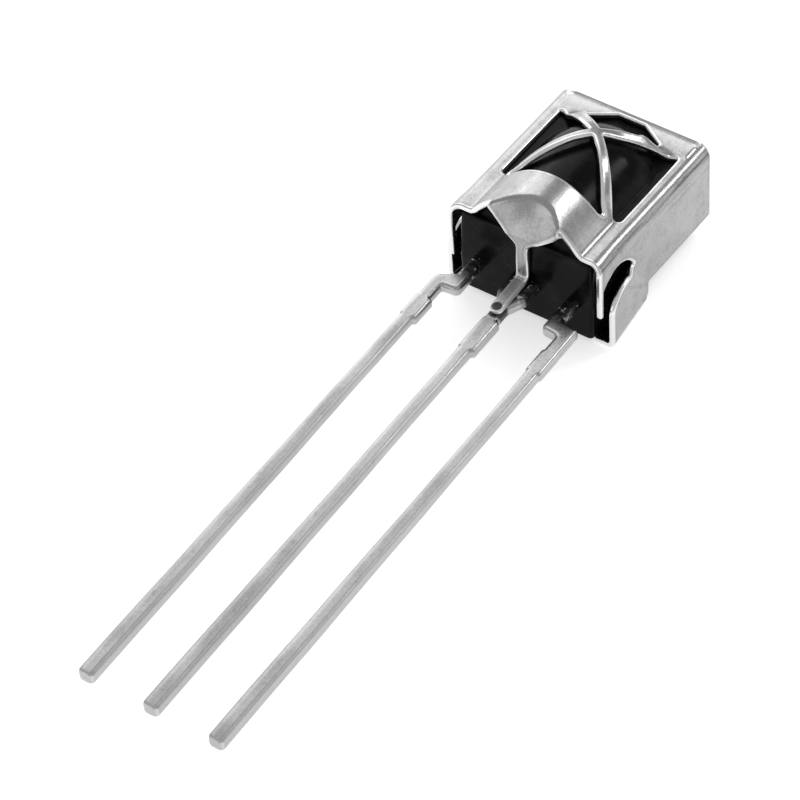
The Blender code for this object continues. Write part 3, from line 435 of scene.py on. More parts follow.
shield = dict(
    sheet=0.20, edgeRound=0.085, underRound=0.045, half=3.015, top=7.00, foot=-0.03, depth=3.15, front=3.87,
    sideBend=0.40, topBend=0.22, cornerSlit=0.04, sideStep=0.12, cornerRound=0.10, foldMargin=0.02,
    # how far beside a slit, and from where up to the fold, its edge stays nearly square
    slitEase=(0.06, 0.22), slitEaseUp=(0.40, 0.20), slitEaseShare=0.9, slitRound=0.02, topFlapRound=0.30,
    windowHalf=2.37, rimY=1.72, crossY=4.42, armWidth=0.36, armBow=0.13,
    lowerFoot=(1.95, 2.10), upperFoot=(1.99, 5.78), gussetStart=1.05, topTip=(1.45, 6.02),
    topCorner=(0.52, 6.60), windowFillet=0.13, tipFillet=0.06,
    # rise, half span and power of the arch at the rim, below and above the crossing
    rimDome=(1.36, 2.20, 2.0), lowerDome=(1.27, 2.12, 2.4), upperDome=(1.17, 2.12, 1.7),
    domeFoot=0.08, rimBlend=(1.90, 2.30), crossBlend=(4.10, 4.90), fade=(5.45, 6.02),
    creaseY=0.57, creaseBow=0.30, creaseSkew=0.30, flapAngle=62.0, flapBend=0.30,
    strapBend=0.30, toeBend=0.16, toeAngle=4.0, toeGap=0.02, strapHalf=0.25, flapHalf=1.41,
    flapShoulder=-0.28, neckDrop=2.05, toeY=-2.05, strapY=-0.33,
    footRound=0.06, shoulderRound=0.12, neckRound=0.35, toeRound=0.22,
    # the ear's outward step, greatest at its foot
    earOut=(0.37, 0.09), earJoggle=0.45, earBend=0.32, earLow=0.14, earHigh=2.70,
    earRoot=2.95, earFront=1.55, earReach=2.55, earNose=(1.12, 0.80), noseStart=188, tabCorner=0.18,
    earHollow=(0.35, 0.12), rootRound=0.08, hollowRound=0.20,
    fingerFoot=-0.17, fingerWidth=0.22, fingerDepth=2.38, fingerFlare=0.07, flareTop=1.20,
    slotCentre=(0.90, 2.00), slotRadii=(1.20, 1.15), slotEnd=1.95, slotMargin=0.10,
    # distances of the mesh's points, their rows over each bend and along the ear's slot, and
    # their columns to each side of the middle
    fine=0.10, coarse=0.20, sideRows=9, earRows=7, topRows=6, creaseRows=7, strapRows=8,
    noseSteps=10, slotSteps=20, endSteps=8, faceColumns=26, flapColumns=14,
    # first rows above the foot and past the top fold, and the stretch of rows on a clinch tab
    footRow=0.02, topRow=0.30, tabRows=1.00,
    # stretch of strap rows before the neck's end, margin at the crease, least distance of rows
    neckRows=0.60, creaseMargin=0.07, rowGap=0.01,
)
foldU = shield["half"] - shield["sideBend"]
topV = shield["top"] - shield["topBend"]
leadTop = shield["front"] - leads["depth"] + leads["thick"] / 2
leadFall = math.tan(math.radians(leads["droop"]))


def domeHeight(x, y):
    # rise * (1 - |x / span|^power), with the three numbers blended along y, faded out above
    # the crossing and joined to the flat by a small hollow
    low = smoothStep(y, *shield["rimBlend"])
    high = smoothStep(y, *shield["crossBlend"])
    rise, span, power = (a + (b - a) * low + (c - b) * high for a, b, c in
                         zip(shield["rimDome"], shield["lowerDome"], shield["upperDome"]))
    height = rise * (1 - (np.abs(x) / span) ** power) * (1 - smoothStep(y, *shield["fade"]))
    foot = shield["domeFoot"]
    return np.where(height > foot, height, np.where(height > -foot, (height + foot) ** 2 / (4 * foot), 0.0))


def strapStages():
    # bends and straights of flap and strap: length, start angle, turn per millimetre
    s = shield
    flap, toe, down = math.radians(s["flapAngle"]), math.radians(s["toeAngle"]), math.pi / 2
    run = s["creaseY"] - s["strapY"] - s["flapBend"] * math.sin(flap) - s["strapBend"] * (1 - math.sin(flap))
    run /= math.cos(flap)
    toeRun = (s["strapY"] - s["toeY"] - s["toeBend"] * (1 - math.sin(toe))) / math.cos(toe)
    fall = leadFall * max(0.0, leads["droopStart"] - s["toeY"] - s["sheet"] * math.sin(toe))
    toeZ = leadTop - fall + s["toeGap"] + s["sheet"] * math.cos(toe)
    spent = s["flapBend"] * (1 - math.cos(flap)) + run * math.sin(flap) + s["strapBend"] * math.cos(flap)
    spent += s["toeBend"] * math.cos(toe) + toeRun * math.sin(toe)
    drop = s["front"] + s["rimDome"][0] - toeZ - spent
    return [(s["flapBend"] * flap, 0.0, 1 / s["flapBend"]), (run, flap, 0.0),
            (s["strapBend"] * (down - flap), flap, 1 / s["strapBend"]), (drop, down, 0.0),
            (s["toeBend"] * (down - toe), down, -1 / s["toeBend"]), (toeRun, toe, 0.0)]


stages = strapStages()
strapLength = sum(stage[0] for stage in stages)


def strapPath(distance):
    # integral of (cos, sin) of the slope angle along the stages: forward and down
    forward, down, start = 0.0 * distance, 0.0 * distance, 0.0
    for length, angle, turn in stages:
        part = np.clip(distance - start, 0.0, length)
        if turn:
            forward += (np.sin(angle + turn * part) - math.sin(angle)) / turn
            down += (math.cos(angle) - np.cos(angle + turn * part)) / turn
        else:
            forward += part * math.cos(angle)
            down += part * math.sin(angle)
        start += length
    return forward, down


def creaseLine(u):
    # parabola with a cubic term, a little higher on the right
    skew = shield["creaseSkew"] * u * np.maximum(0.0, 1 - (u / shield["flapHalf"]) ** 2)
    return shield["creaseY"] - shield["creaseBow"] * u * u + skew


def sideU(depth):
    # flat coordinate of a point of the side at a depth behind the front
    return foldU + shield["sideBend"] * (math.pi / 2 - 1) + depth


def besideSlot(v, depth):
    # true on the finger and above the slot, which the ear's outward step leaves alone
    s = shield
    across = np.clip((v - s["slotCentre"][0]) / s["slotRadii"][0], -1.0, 1.0)
    edge = s["slotCentre"][1] - s["slotRadii"][1] * np.sqrt(1 - across ** 2)
    between = (s["fingerFoot"] + s["fingerWidth"] + s["earLow"]) / 2
    return (v < between) | ((v < s["slotEnd"]) & (depth < edge + s["slotMargin"]))


def formedShield(flat):
    # Outer face of the folded sheet. The front is the flat blank raised by the dome. Beyond a
    # fold line the arc length turns into an angle of the bend, then into depth.
    s = shield
    u, v = flat.T
    across, hand = np.abs(u), np.sign(u)
    crease = creaseLine(u)
    start = s["creaseY"] + (crease - s["creaseY"]) * (1 - smoothStep(crease - v, 0.0, s["neckDrop"]))
    base = np.where(v > crease, v, start)
    forward, down = strapPath(np.where(v > crease, 0.0, start - v))
    x, y, z = u.copy(), base - forward, s["front"] + domeHeight(u, base) - down
    turn = np.clip((across - foldU) / s["sideBend"], 0.0, math.pi / 2)
    depth = s["sideBend"] + np.maximum(0.0, across - foldU - s["sideBend"] * math.pi / 2)
    reach = np.array((s["earRoot"] - s["slotEnd"], s["depth"] - s["earFront"]))
    reach /= np.linalg.norm(reach)
    off = (depth - s["earFront"]) * reach[0] - (v - s["slotEnd"]) * reach[1]
    step = smoothStep(np.where(besideSlot(v, depth), 0.0, off), 0.0, s["earJoggle"])
    along = np.clip((v - s["earLow"]) / (s["earHigh"] - s["earLow"]), 0.0, 1.0)
    flare = s["fingerFlare"] * smoothStep(-v, -s["flareTop"], 0.0) * (1 - step)
    out = (s["earOut"][0] + (s["earOut"][1] - s["earOut"][0]) * along) * step + flare
    bend = s["earBend"]
    curl = np.clip((depth - s["front"] + bend) / bend, 0.0, math.pi / 2)
    tail = np.maximum(0.0, depth - s["front"] + bend - bend * math.pi / 2)
    sideX = s["half"] + out - bend * (1 - np.cos(curl)) - tail
    sideZ = np.where(curl > 0, bend * (1 - np.sin(curl)), s["front"] - depth)
    onBend, onSide = across > foldU, across > foldU + s["sideBend"] * math.pi / 2
    bendX = foldU + s["sideBend"] * np.sin(turn) + flare * turn / (math.pi / 2)
    bendZ = s["front"] - s["sideBend"] * (1 - np.cos(turn))
    x = np.where(onSide, hand * sideX, np.where(onBend, hand * bendX, x))
    z = np.where(onSide, sideZ, np.where(onBend, bendZ, z))
    y = np.where(onBend, v, y)
    tilt = np.clip((v - topV) / s["topBend"], 0.0, math.pi / 2)
    rest = np.maximum(0.0, v - topV - s["topBend"] * math.pi / 2)
    onTop = (v > topV) & (across < foldU - s["foldMargin"] - s["cornerSlit"] / 2)
    y = np.where(onTop, topV + s["topBend"] * np.sin(tilt), y)
    z = np.where(onTop, s["front"] - s["topBend"] * (1 - np.cos(tilt)) - rest, z)
    return np.stack([x, y, z], axis=1)


def sideOutline():
    # right side of the blank, from the top of the side down to the foot of the finger
    s = shield
    back, bend, high = sideU(s["depth"]), s["earBend"], s["top"] - s["sideStep"]
    wide, drop = s["earHollow"]
    tab = sideU(s["front"] + bend * (math.pi / 2 - 1) + s["half"] + s["earOut"][1] - s["earReach"])
    top = filletLoop([
        (foldU - s["foldMargin"], high, 0), (back, high, s["cornerRound"]),
        (back, s["earRoot"], s["rootRound"]),
        (sideU(s["depth"] + wide), s["earRoot"] - drop, s["hollowRound"]),
        (sideU(s["front"] - bend), s["earHigh"], 0), (tab, s["earHigh"], s["tabCorner"]),
        (tab, s["earLow"], s["tabCorner"]), (sideU(s["earFront"] + s["earNose"][1]), s["earLow"], 0)])
    centre = (s["earLow"] + s["earNose"][0], s["earFront"] + s["earNose"][1])
    nose = arcPoints(centre, s["earNose"], s["noseStart"], 270, s["noseSteps"])
    angle = math.degrees(math.acos((s["slotEnd"] - s["slotCentre"][0]) / s["slotRadii"][0]))
    tip = s["slotCentre"][1] - s["slotRadii"][1] * math.sin(math.radians(angle))
    radius = (s["earFront"] - tip) / 2
    end = arcPoints((s["slotEnd"], (s["earFront"] + tip) / 2), (radius, radius), 90, -90, s["endSteps"])
    fingerTop = s["fingerFoot"] + s["fingerWidth"]
    last = math.degrees(math.acos((fingerTop - s["slotCentre"][0]) / s["slotRadii"][0]))
    slot = arcPoints(s["slotCentre"], s["slotRadii"], -angle, -last, s["slotSteps"])[1:]
    curve = np.vstack([nose, end, slot])
    curve = np.stack([sideU(curve[:, 1]), curve[:, 0]], axis=1)
    half = s["fingerWidth"] / 2
    centre = (sideU(s["fingerDepth"]) - half, s["fingerFoot"] + half)
    finger = arcPoints(centre, (half, half), 90, -90, s["endSteps"])
    low = [(sideU(s["sideBend"]), s["fingerFoot"]), (foldU, s["foot"])]
    return np.vstack([top[1:], curve, finger, low])


def crossing(a, b):
    # where two lines, each a point and a direction, meet
    (p, r), (q, d) = a, b
    return tuple(p + r * (((q - p)[0] * d[1] - (q - p)[1] * d[0]) / (r[0] * d[1] - r[1] * d[0])))


def windowHoles():
    # the four openings between the arms of the X, whose lower arms bow outwards
    s = shield

    def arm(foot, side):
        run = np.array(foot) - (0.0, s["crossY"])
        run = run / np.linalg.norm(run)
        normal = np.array((-run[1], run[0])) * np.sign(run[0]) * side
        return np.array((0.0, s["crossY"])) + normal * s["armWidth"] / 2, run

    edge = (np.array((s["windowHalf"], 0.0)), np.array((0.0, 1.0)))
    rim = (np.array((0.0, s["rimY"])), np.array((1.0, 0.0)))
    middle = (np.array((0.0, 0.0)), np.array((0.0, 1.0)))
    lowOut, lowIn = arm(s["lowerFoot"], 1), arm(s["lowerFoot"], -1)
    highOut, highIn = arm(s["upperFoot"], -1), arm(s["upperFoot"], 1)
    tip, corner = s["tipFillet"], s["windowFillet"]
    right = filletLoop([(*crossing(lowOut, highOut), tip), (*crossing(lowOut, edge), corner),
                        (*crossing(highOut, edge), tip)])
    low = crossing(lowIn, rim)
    bottom = filletLoop([(*crossing(lowIn, middle), tip), (-low[0], low[1], corner), (*low, corner)])
    high = highIn[0] + highIn[1] * (s["gussetStart"] - highIn[0][0]) / highIn[1][0]
    tipX, tipY = s["topTip"]
    cornerX, cornerY = s["topCorner"]
    top = filletLoop([(*crossing(highIn, middle), tip), (*high, corner), (tipX, tipY, tip),
                      (cornerX, cornerY, corner), (-cornerX, cornerY, corner), (-tipX, tipY, tip),
                      (-high[0], high[1], corner)])
    holes = []
    for hole in (right, right * (-1, 1), bottom, top):
        x, y = spread(hole, s["fine"]).T
        along = np.clip((s["crossY"] - y) / (s["crossY"] - s["lowerFoot"][1]), 0.0, 1.0)
        push = s["armBow"] * np.sin(math.pi * along) * (1 - (x / s["windowHalf"]) ** 4)
        holes.append(np.stack([x + np.clip(x / s["armWidth"], -1, 1) * push, y], axis=1))
    return holes


def closedCorner(flat):
    # the slits at the two top corners are pressed shut, so their edges stay nearly square
    u, v = flat.T
    low, high = shield["slitEaseUp"]
    beside = 1 - smoothStep(np.abs(np.abs(u) - foldU), *shield["slitEase"])
    return 1 - shield["slitEaseShare"] * beside * smoothStep(v, topV - low, topV - high)


def bendStops(start, length, count):
    # places of the rows over a bend: its length in equal parts
    return start + length * np.arange(count + 1) / count


def buildShield():
    # outline of the blank, its holes, and a grid that follows the folds, closer there
    s = shield
    flapEnd = topV + s["topBend"] * (math.pi / 2 - 1) + s["depth"]
    slit, corner = foldU - s["cornerSlit"] - s["foldMargin"], foldU - s["foldMargin"]
    notch, neck, toe = topV - s["cornerRound"], s["creaseY"] - s["neckDrop"], s["creaseY"] - strapLength
    top = filletLoop([(0.0, flapEnd, 0), (slit, flapEnd, s["topFlapRound"]), (slit, notch, s["slitRound"]),
                      (corner, notch, s["slitRound"]), (corner, s["top"] - s["sideStep"], 0),
                      (0.0, s["top"], 0)])[:-1]
    foot = filletLoop([(s["half"], s["foot"], 0), (s["flapHalf"], s["foot"], s["footRound"]),
                       (s["flapHalf"], s["flapShoulder"], s["shoulderRound"]),
                       (s["strapHalf"], neck, s["neckRound"]), (s["strapHalf"], toe, s["toeRound"]),
                       (0.0, toe, 0), (0.0, s["crossY"], 0)])[1:-1]
    half = np.vstack([top, sideOutline(), foot])
    middle = np.abs(half[:, 0]) < 1e-9
    outline = np.vstack([half, (half * (-1, 1))[~middle][::-1]])
    loops = [spread(outline, s["fine"])] + windowHoles()
    flatStart, earStart = sideU(s["sideBend"]) + s["coarse"], sideU(s["earFront"])
    earFold = sideU(s["front"] - s["earBend"])
    sideLines = np.concatenate([bendStops(foldU, s["sideBend"] * math.pi / 2, s["sideRows"]),
                                np.arange(flatStart, earStart, s["coarse"]),
                                np.arange(earStart, earFold, s["fine"]),
                                bendStops(earFold, s["earBend"] * math.pi / 2, s["earRows"])])
    tabLines = sideLines[-1] + np.arange(s["fine"], s["tabRows"], s["coarse"])
    sideLines = np.concatenate([sideLines, tabLines])
    upLines = np.concatenate([np.arange(s["foot"] + s["footRow"], topV - s["fine"] / 2, s["fine"]),
                              bendStops(topV, s["topBend"] * math.pi / 2, s["topRows"]),
                              np.arange(s["top"] + s["topRow"], flapEnd, s["coarse"])])
    bend = s["flapBend"] * math.radians(s["flapAngle"])
    flapLines = np.arange(bend + s["fine"], s["neckDrop"], s["fine"])
    downLines = np.concatenate([bendStops(0.0, bend, s["creaseRows"]), flapLines])
    start = 0.0
    for length, _, turn in stages:
        if start > s["neckDrop"] - s["neckRows"]:
            count = s["strapRows"] if turn else max(1, int(length / s["coarse"]))
            downLines = np.concatenate([downLines, bendStops(start, length, count)])
        start += length
    downLines = downLines[np.concatenate([[True], np.diff(downLines) > s["rowGap"]])]

    def columns(count):
        return np.arange(-count, count + 1) * s["fine"]

    def crossed(across, up):
        return np.stack(np.meshgrid(across, up), axis=-1).reshape(-1, 2)

    face = crossed(columns(s["faceColumns"]), upLines)
    onFlap = face[:, 1] < creaseLine(face[:, 0]) + s["creaseMargin"]
    onFlap &= np.abs(face[:, 0]) < s["flapHalf"]
    flap = crossed(columns(s["flapColumns"]), downLines)
    fade = 1 - smoothStep(flap[:, 1], 0.0, s["neckDrop"])
    flap[:, 1] = s["creaseY"] + (creaseLine(flap[:, 0]) - s["creaseY"]) * fade - flap[:, 1]
    grid = np.vstack([crossed(np.concatenate([-sideLines, sideLines]), upLines), face[~onFlap], flap])
    return sheetSkin("shieldSkin", loops, grid, formedShield, lambda flat: s["sheet"],
                     s["edgeRound"], s["underRound"], closedCorner)


# The black body: a block with draft on both sides of the parting line, and the lens ridge

body = dict(
    half=2.70, foot=-0.10, top=6.75, back=0.25, front=3.65, corner=0.30, footCorner=0.15,
    draftFront=0.08, draftBack=0.05, edge=0.10, partingZ=1.63,
    lensHalf=2.05, lensRise=1.10, lensY=4.20, lensFoot=0.14, lensBlend=0.05, endBlend=0.12, slope=62.0,
    markRadius=0.55, markEdge=0.04, markDepth=0.05, markY=(1.60, 5.20),
    poleY=3.30,                        # the rows of the back and the front shrink to this height
    perSide=44, perCorner=10, edgeRows=6, backRows=40, frontRows=66, poleScale=0.01,
    # rows of the walls, as shares of their depth; those near an end keep its shading straight
    backWall=(0.03, 0.5, 0.94, 0.97), frontWall=(0.02, 0.04, 0.5, 0.97),
)


def bodyOutline(inset):
    # rounded rectangle as one row of points, with the same count whatever the inset
    b = body
    x, low, high = b["half"] - inset, b["foot"] + inset / 2, b["top"] - inset
    corners = [(-x, low, b["footCorner"]), (x, low, b["footCorner"]),
               (x, high, b["corner"]), (-x, high, b["corner"])]
    arcs = filletLoop(corners, b["perCorner"]).reshape(4, -1, 2)
    t = (np.arange(1, b["perSide"]) / b["perSide"])[:, None]
    sides = [arc[-1] + (after[0] - arc[-1]) * t for arc, after in zip(arcs, np.roll(arcs, -1, axis=0))]
    return np.vstack([np.vstack(pair) for pair in zip(arcs, sides)])


def lensHeight(x, y):
    # the lower of a round dome, drawn out to the foot, and a sloping end; then the higher of
    # that and the flat. Both choices are softened: (a + b + sqrt((a - b)^2 + f^2)) / 2
    b = body
    curve = (b["lensHalf"] ** 2 + b["lensRise"] ** 2) / (2 * b["lensRise"])
    radial = np.hypot(x, np.maximum(0.0, y - b["lensY"]))
    dome = np.sqrt(np.maximum(curve ** 2 - radial ** 2, 0.0)) - (curve - b["lensRise"])
    end = (y - b["lensFoot"]) * math.tan(math.radians(b["slope"]))
    ridge = (dome + end - np.sqrt((dome - end) ** 2 + b["endBlend"] ** 2)) / 2
    return (ridge + np.sqrt(ridge ** 2 + b["lensBlend"] ** 2)) / 2


def buildBody():
    # rows of the same outline from the middle of the back, over the sides, to the middle of
    # the front; the inner rows shrink to a pole and take their height from a formula
    b = body
    arc = np.radians(np.linspace(0, 90, b["edgeRows"] + 1))
    backEdge = b["draftBack"] + b["edge"] * (1 - np.sin(arc))
    frontEdge = b["draftFront"] + b["edge"] * (1 - np.cos(arc))
    low, high, mid = b["back"] + b["edge"], b["front"] - b["edge"], b["partingZ"]
    rows = list(zip(backEdge, b["back"] + b["edge"] * (1 - np.cos(arc))))
    rows += [(b["draftBack"] * (1 - t), low + (mid - low) * t) for t in b["backWall"]]
    rows.append((0.0, mid))
    rows += [(b["draftFront"] * t, mid + (high - mid) * t) for t in b["frontWall"]]
    rows += list(zip(frontEdge, b["front"] - b["edge"] * (1 - np.sin(arc))))
    loops = [(bodyOutline(inset), z) for inset, z in rows]
    points = [np.column_stack([loop, np.full(len(loop), z)]) for loop, z in loops]
    centre = np.array((0.0, b["poleY"]))
    count = len(points[0])

    def shrunk(loop, steps):
        # the outline drawn together to the pole in even steps
        scales = np.linspace(1, b["poleScale"], steps)[1:, None, None]
        return (centre + (loop - centre) * scales).reshape(-1, 2)

    back, front = shrunk(points[0][:, :2], b["backRows"]), shrunk(points[-1][:, :2], b["frontRows"])
    x, y = back.T
    marks = [1 - smoothStep(np.hypot(x, y - at), b["markRadius"] - b["markEdge"], b["markRadius"])
             for at in b["markY"]]
    back = np.column_stack([back, b["back"] + b["markDepth"] * np.maximum(*marks)])
    front = np.column_stack([front, b["front"] + lensHeight(*front.T)])
    points = list(back.reshape(-1, count, 3)[::-1]) + points + list(front.reshape(-1, count, 3))
    total = len(points)
    poles = [points[0].mean(axis=0), points[-1].mean(axis=0)]
    a = np.arange((total - 1) * count)
    beside = a - a % count + (a + 1) % count
    quads = np.stack([a, beside, beside + count, a + count], axis=1)
    here = np.arange(count)
    after = (here + 1) % count
    last = (total - 1) * count
    fans = np.vstack([np.stack([after, here, np.full(count, total * count)], axis=1),
                      np.stack([last + here, last + after, np.full(count, total * count + 1)], axis=1)])
    triangles = np.vstack([quads[:, [0, 1, 2]], quads[:, [0, 2, 3]], fans])
    return addSkin("bodySkin", np.vstack(points + [np.array(poles)]), triangles)


# Finishes

stripLook = dict(
    tone=0.375, darkTone=(0.10, 0.10, 0.102), wearSheenTone=0.84, topSheenTone=0.50, fluxTone=0.50, weldTone=0.02,
    topSheenY=6.62, topSheenHalf=0.50, sheenDipY=5.2, sheenDipHalf=1.1, fluxLength=(1.75, 1.45),
    weldY=0.22, weldHalf=(0.20, 0.20),       # from the end of the strap
    foldGrey=(3.15, 0.75), foldShadeLines=((3.06, 0.14, 0.80), (3.27, 0.12, 0.20), (3.63, 0.11, 0.22)),
    joggleAt=(5.10, 1.95), joggleWay=(0.78, 0.62), joggleWidth=(0.16, 0.13), rough=(0.20, 0.34),
    relief=0.45, reliefDepth=0.018,
)


def shieldFinish():
    # patterns on the flat blank's own coordinates, so that they follow the sheet round its folds
    look = stripLook
    made, shader, start = finish("tinnedStrip", metallic=1.0)
    edge, u, v = (attribute(start, name) for name in ("edge", "blankU", "blankV"))
    blank = start.node("CombineXYZ", X=u, Y=v)

    def onBlank(scale, stretch=(1, 1, 1), detail=3.0):
        sized = start.node("Mapping", Vector=blank, Scale=tuple(scale * k for k in stretch))
        return start.node("TexNoise", Vector=sized, Scale=1.0, Detail=detail, Roughness=0.6)

    cloud = onBlank(0.9, detail=4.0)
    stain = onBlank(2.6, detail=5.0)
    drawn = onBlank(1.0, (9.0, 0.35, 1.0))
    fleck = onBlank(5.5, detail=2.0)
    sand = onBlank(11.0, detail=1.0)
    speck = fleck.ramp(0.69, 0.75)
    band = start.math("ABSOLUTE", u)
    # painted shade: drawn streaks that darken the band over each side fold
    streak = drawn.ramp(0.50, 0.68) * band.near(*look["foldGrey"])
    dark = cloud.ramp(0.35, 0.75, 0.0, 0.22) + stain.ramp(0.52, 0.72, 0.0, 0.16)
    dark = dark + streak * 0.35 + speck * 0.30 + sand.ramp(0.35, 0.65, -0.08, 0.08)
    # painted shade along each side fold: a dark line in the bend and two on the side beside it; the outer
    # two fade out towards the foot
    patchy = drawn.ramp(0.30, 0.62, 0.45, 1.0)
    inner, middle, outer = (band.near(at, width) * depth for at, width, depth in look["foldShadeLines"])
    dark = dark + inner * patchy + (middle + outer) * (v.ramp(2.6, 4.2) * patchy)
    # painted shade: a dark line along the crease where the ear steps out, and a faint dark band just inside
    # the cut edges
    (atU, atV), (wayU, wayV) = look["joggleAt"], look["joggleWay"]
    joggleShade = ((band - atU) * wayU - (v - atV) * wayV).near(*look["joggleWidth"])
    dark = dark + joggleShade * v.ramp(0.8, 1.6) * v.ramp(3.1, 2.9) * 0.30 + edge.near(0.52, 0.26) * 0.20
    tone = dark.tint(grey(look["tone"]), look["darkTone"])
    # painted highlight: the strip above the window is lightened, standing for a brighter reflection of the
    # lamp; the toe of the strap is greyed by flux
    topSheen = v.near(look["topSheenY"], look["topSheenHalf"]) * band.ramp(2.75, 2.50)
    tone = (topSheen * 0.7).tint(tone, grey(look["topSheenTone"]))
    toeEnd = shield["creaseY"] - strapLength
    toe = v.ramp(*(toeEnd + length for length in look["fluxLength"]))
    tone = (toe * 0.6).tint(tone, grey(look["fluxTone"]))
    # painted highlight along the cut edges, partly wear of the tin; it is weaker in patches on the upper
    # arms of the cross
    sheenDip = v.near(look["sheenDipY"], look["sheenDipHalf"]) * band.ramp(2.3, 2.0) * stain.ramp(0.40, 0.58)
    wearAndSheen = edge.ramp(0.05, 0.50, 0.9, 0.0) * (1 - sheenDip * 0.55)
    tone = wearAndSheen.tint(tone, grey(look["wearSheenTone"]))
    # the spot weld that holds the toe of the strap on the centre lead
    across, along = u / look["weldHalf"][0], (v - (toeEnd + look["weldY"])) / look["weldHalf"][1]
    weld = (across * across + along * along).ramp(0.70, 1.0, 1.0, 0.0) * fleck.ramp(0.35, 0.65, 1.0, 0.88)
    tone = (weld * 0.98).tint(tone, grey(look["weldTone"]))
    rough = stain.ramp(0.3, 0.8, *look["rough"]) + streak * 0.10 + speck * 0.15 - wearAndSheen * 0.06 + weld * 0.2
    height = drawn * 0.35 + stain * 0.5 + cloud * 0.6 + fleck * 0.12
    connect(shader, start, Base_Color=tone, Roughness=rough, Metallic=1 - toe * 0.55,
            Normal=bump(start, height, look["relief"], look["reliefDepth"]))
    return made


leadLook = dict(
    tone=0.42, darkTone=0.12, wearSheenTone=0.60, paintedShadeTone=0.02, sparkTone=0.85,
    tipBright=(0.09, 0.08),                  # painted highlight over the rounding at the tip: distance from the end, and width
    exitShadeAt=(-1.25, -0.80), exitShadeLower=0.30, sparkAt=(-1.3, -0.9),
    toeRing=0.24, toeRingWidth=(0.30, 0.40), rough=(0.30, 0.42), relief=0.5, reliefDepth=0.018,
)


def leadFinish():
    look = leadLook
    made, shader, start = finish("tinnedLead", metallic=1.0)
    edge, u, v = (attribute(start, name) for name in ("edge", "blankU", "blankV"))
    drawn = grain(start, 3.0, 3.0, (1.0, 0.10, 1.0))
    cloud = grain(start, 0.7, 4.0, (1.0, 0.5, 1.0))
    pit = grain(start, 6.0, 2.0)
    sand = grain(start, 11.0, 1.0)
    near = v.ramp(-9.0, -2.0)
    dark = cloud.ramp(0.4, 0.75, 0.0, 0.20) + drawn.ramp(0.48, 0.75) * (0.08 + near * 0.22)
    dark = dark + pit.ramp(0.60, 0.72, 0.0, 0.18) + sand.ramp(0.35, 0.65, -0.07, 0.07)
    # painted shade: darker across the middle of each face, away from the rounded edges
    dark = dark + edge.ramp(0.30, 0.75, 0.0, 0.34)
    tone = dark.tint(grey(look["tone"]), grey(look["darkTone"]))
    # painted highlight on the rounded edges, partly worn tin, most of all at the tips
    inset, width = look["tipBright"]
    wearAndSheen = edge.ramp(0.0, 0.40, 0.30, 0.0) + v.near(inset - leads["length"], width) * 0.6
    tone = wearAndSheen.tint(tone, grey(look["wearSheenTone"]))
    # painted shade where the leads leave the resin, standing for the black body's shadow and reflection on
    # them, reaching lower on the right one; and a painted shadow round the toe of the strap
    patches = grain(start, 3.2, 3.0).ramp(0.40, 0.58)
    lower = v + u.ramp(0.5, 1.5, 0.0, look["exitShadeLower"])
    exitShade = lower.ramp(*look["exitShadeAt"]) * (0.45 + patches * 0.55)
    toeV = shield["toeY"] + look["toeRing"]
    reach = start.math("SQRT", u * u + (v - toeV) * (v - toeV))
    exitAndToeShade = start.math("MAXIMUM", exitShade, reach.ramp(*look["toeRingWidth"], 0.9, 0.0))
    tone = (exitAndToeShade * 0.9).tint(tone, grey(look["paintedShadeTone"]))
    # painted glints: bright flecks in the painted shade at the exits
    spark = grain(start, 4.5, 2.0).ramp(0.60, 0.66) * v.ramp(*look["sparkAt"])
    tone = spark.tint(tone, grey(look["sparkTone"]))
    rough = cloud.ramp(0.3, 0.8, *look["rough"]) - near * 0.08 + exitAndToeShade * 0.15
    height = drawn * 0.4 + cloud * 0.6 + pit * 0.15 + exitAndToeShade * 0.3
    connect(shader, start, Base_Color=tone, Roughness=rough, Metallic=1 - spark * 0.7,
            Normal=bump(start, height, look["relief"], look["reliefDepth"]))
    return made


epoxyLook = dict(
    tone=0.0030, hazeTone=0.024, specular=0.065, rough=(0.14, 0.28), relief=0.35, reliefDepth=0.02,
)


def epoxyFinish():
    # black resin with a faint haze, scuffs across it and a soft unevenness
    look = epoxyLook
    made, shader, start = finish("infraredEpoxy", specular=look["specular"])
    cloud = grain(start, 0.8, 4.0)
    fine = grain(start, 9.0, 3.0)
    scuff = grain(start, 2.2, 4.0, (1.0, 3.0, 1.0)).ramp(0.60, 0.74)
    haze = cloud.ramp(0.4, 0.75, 0.0, 0.6) + scuff * 0.4
    rough = cloud.ramp(0.3, 0.75, *look["rough"]) + scuff * 0.16
    height = cloud * 0.8 + fine * 0.08 + scuff * 0.1
    connect(shader, start, Base_Color=haze.tint(grey(look["tone"]), grey(look["hazeTone"])),
            Roughness=rough, Normal=bump(start, height, look["relief"], look["reliefDepth"]))
    return made


def innerFinish(name, low, high, metallic, rough, scale):
    # chips, adhesive and wires: two close tones, uneven gloss and a fine relief
    made, shader, start = finish(name, metallic=metallic)
    cloud = grain(start, scale, 4.0)
    fine = grain(start, scale * 6, 2.0)
    connect(shader, start, Base_Color=cloud.ramp(0.3, 0.7).tint(low, high),
            Roughness=cloud.ramp(0.3, 0.75, *rough), Normal=bump(start, cloud + fine * 0.3, 0.3, 0.006))
    return made


shieldPiece = buildShield()
shieldPiece.data.materials.append(shieldFinish())
leadPieces = buildLeads()
tinned = leadFinish()
for piece in leadPieces:
    piece.data.materials.append(tinned)
bodyPiece = buildBody()
bodyPiece.data.materials.append(epoxyFinish())
for piece, node, slot in (
        (shieldPiece, "shield", "shield_steel"), (bodyPiece, "epoxy_body", "black_epoxy"),
        (leadPieces[0], "lead_output", "lead_metal"), (leadPieces[1], "lead_ground", "lead_metal"),
        (leadPieces[2], "lead_supply", "lead_metal")):
    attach(piece, "root")
    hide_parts(node)

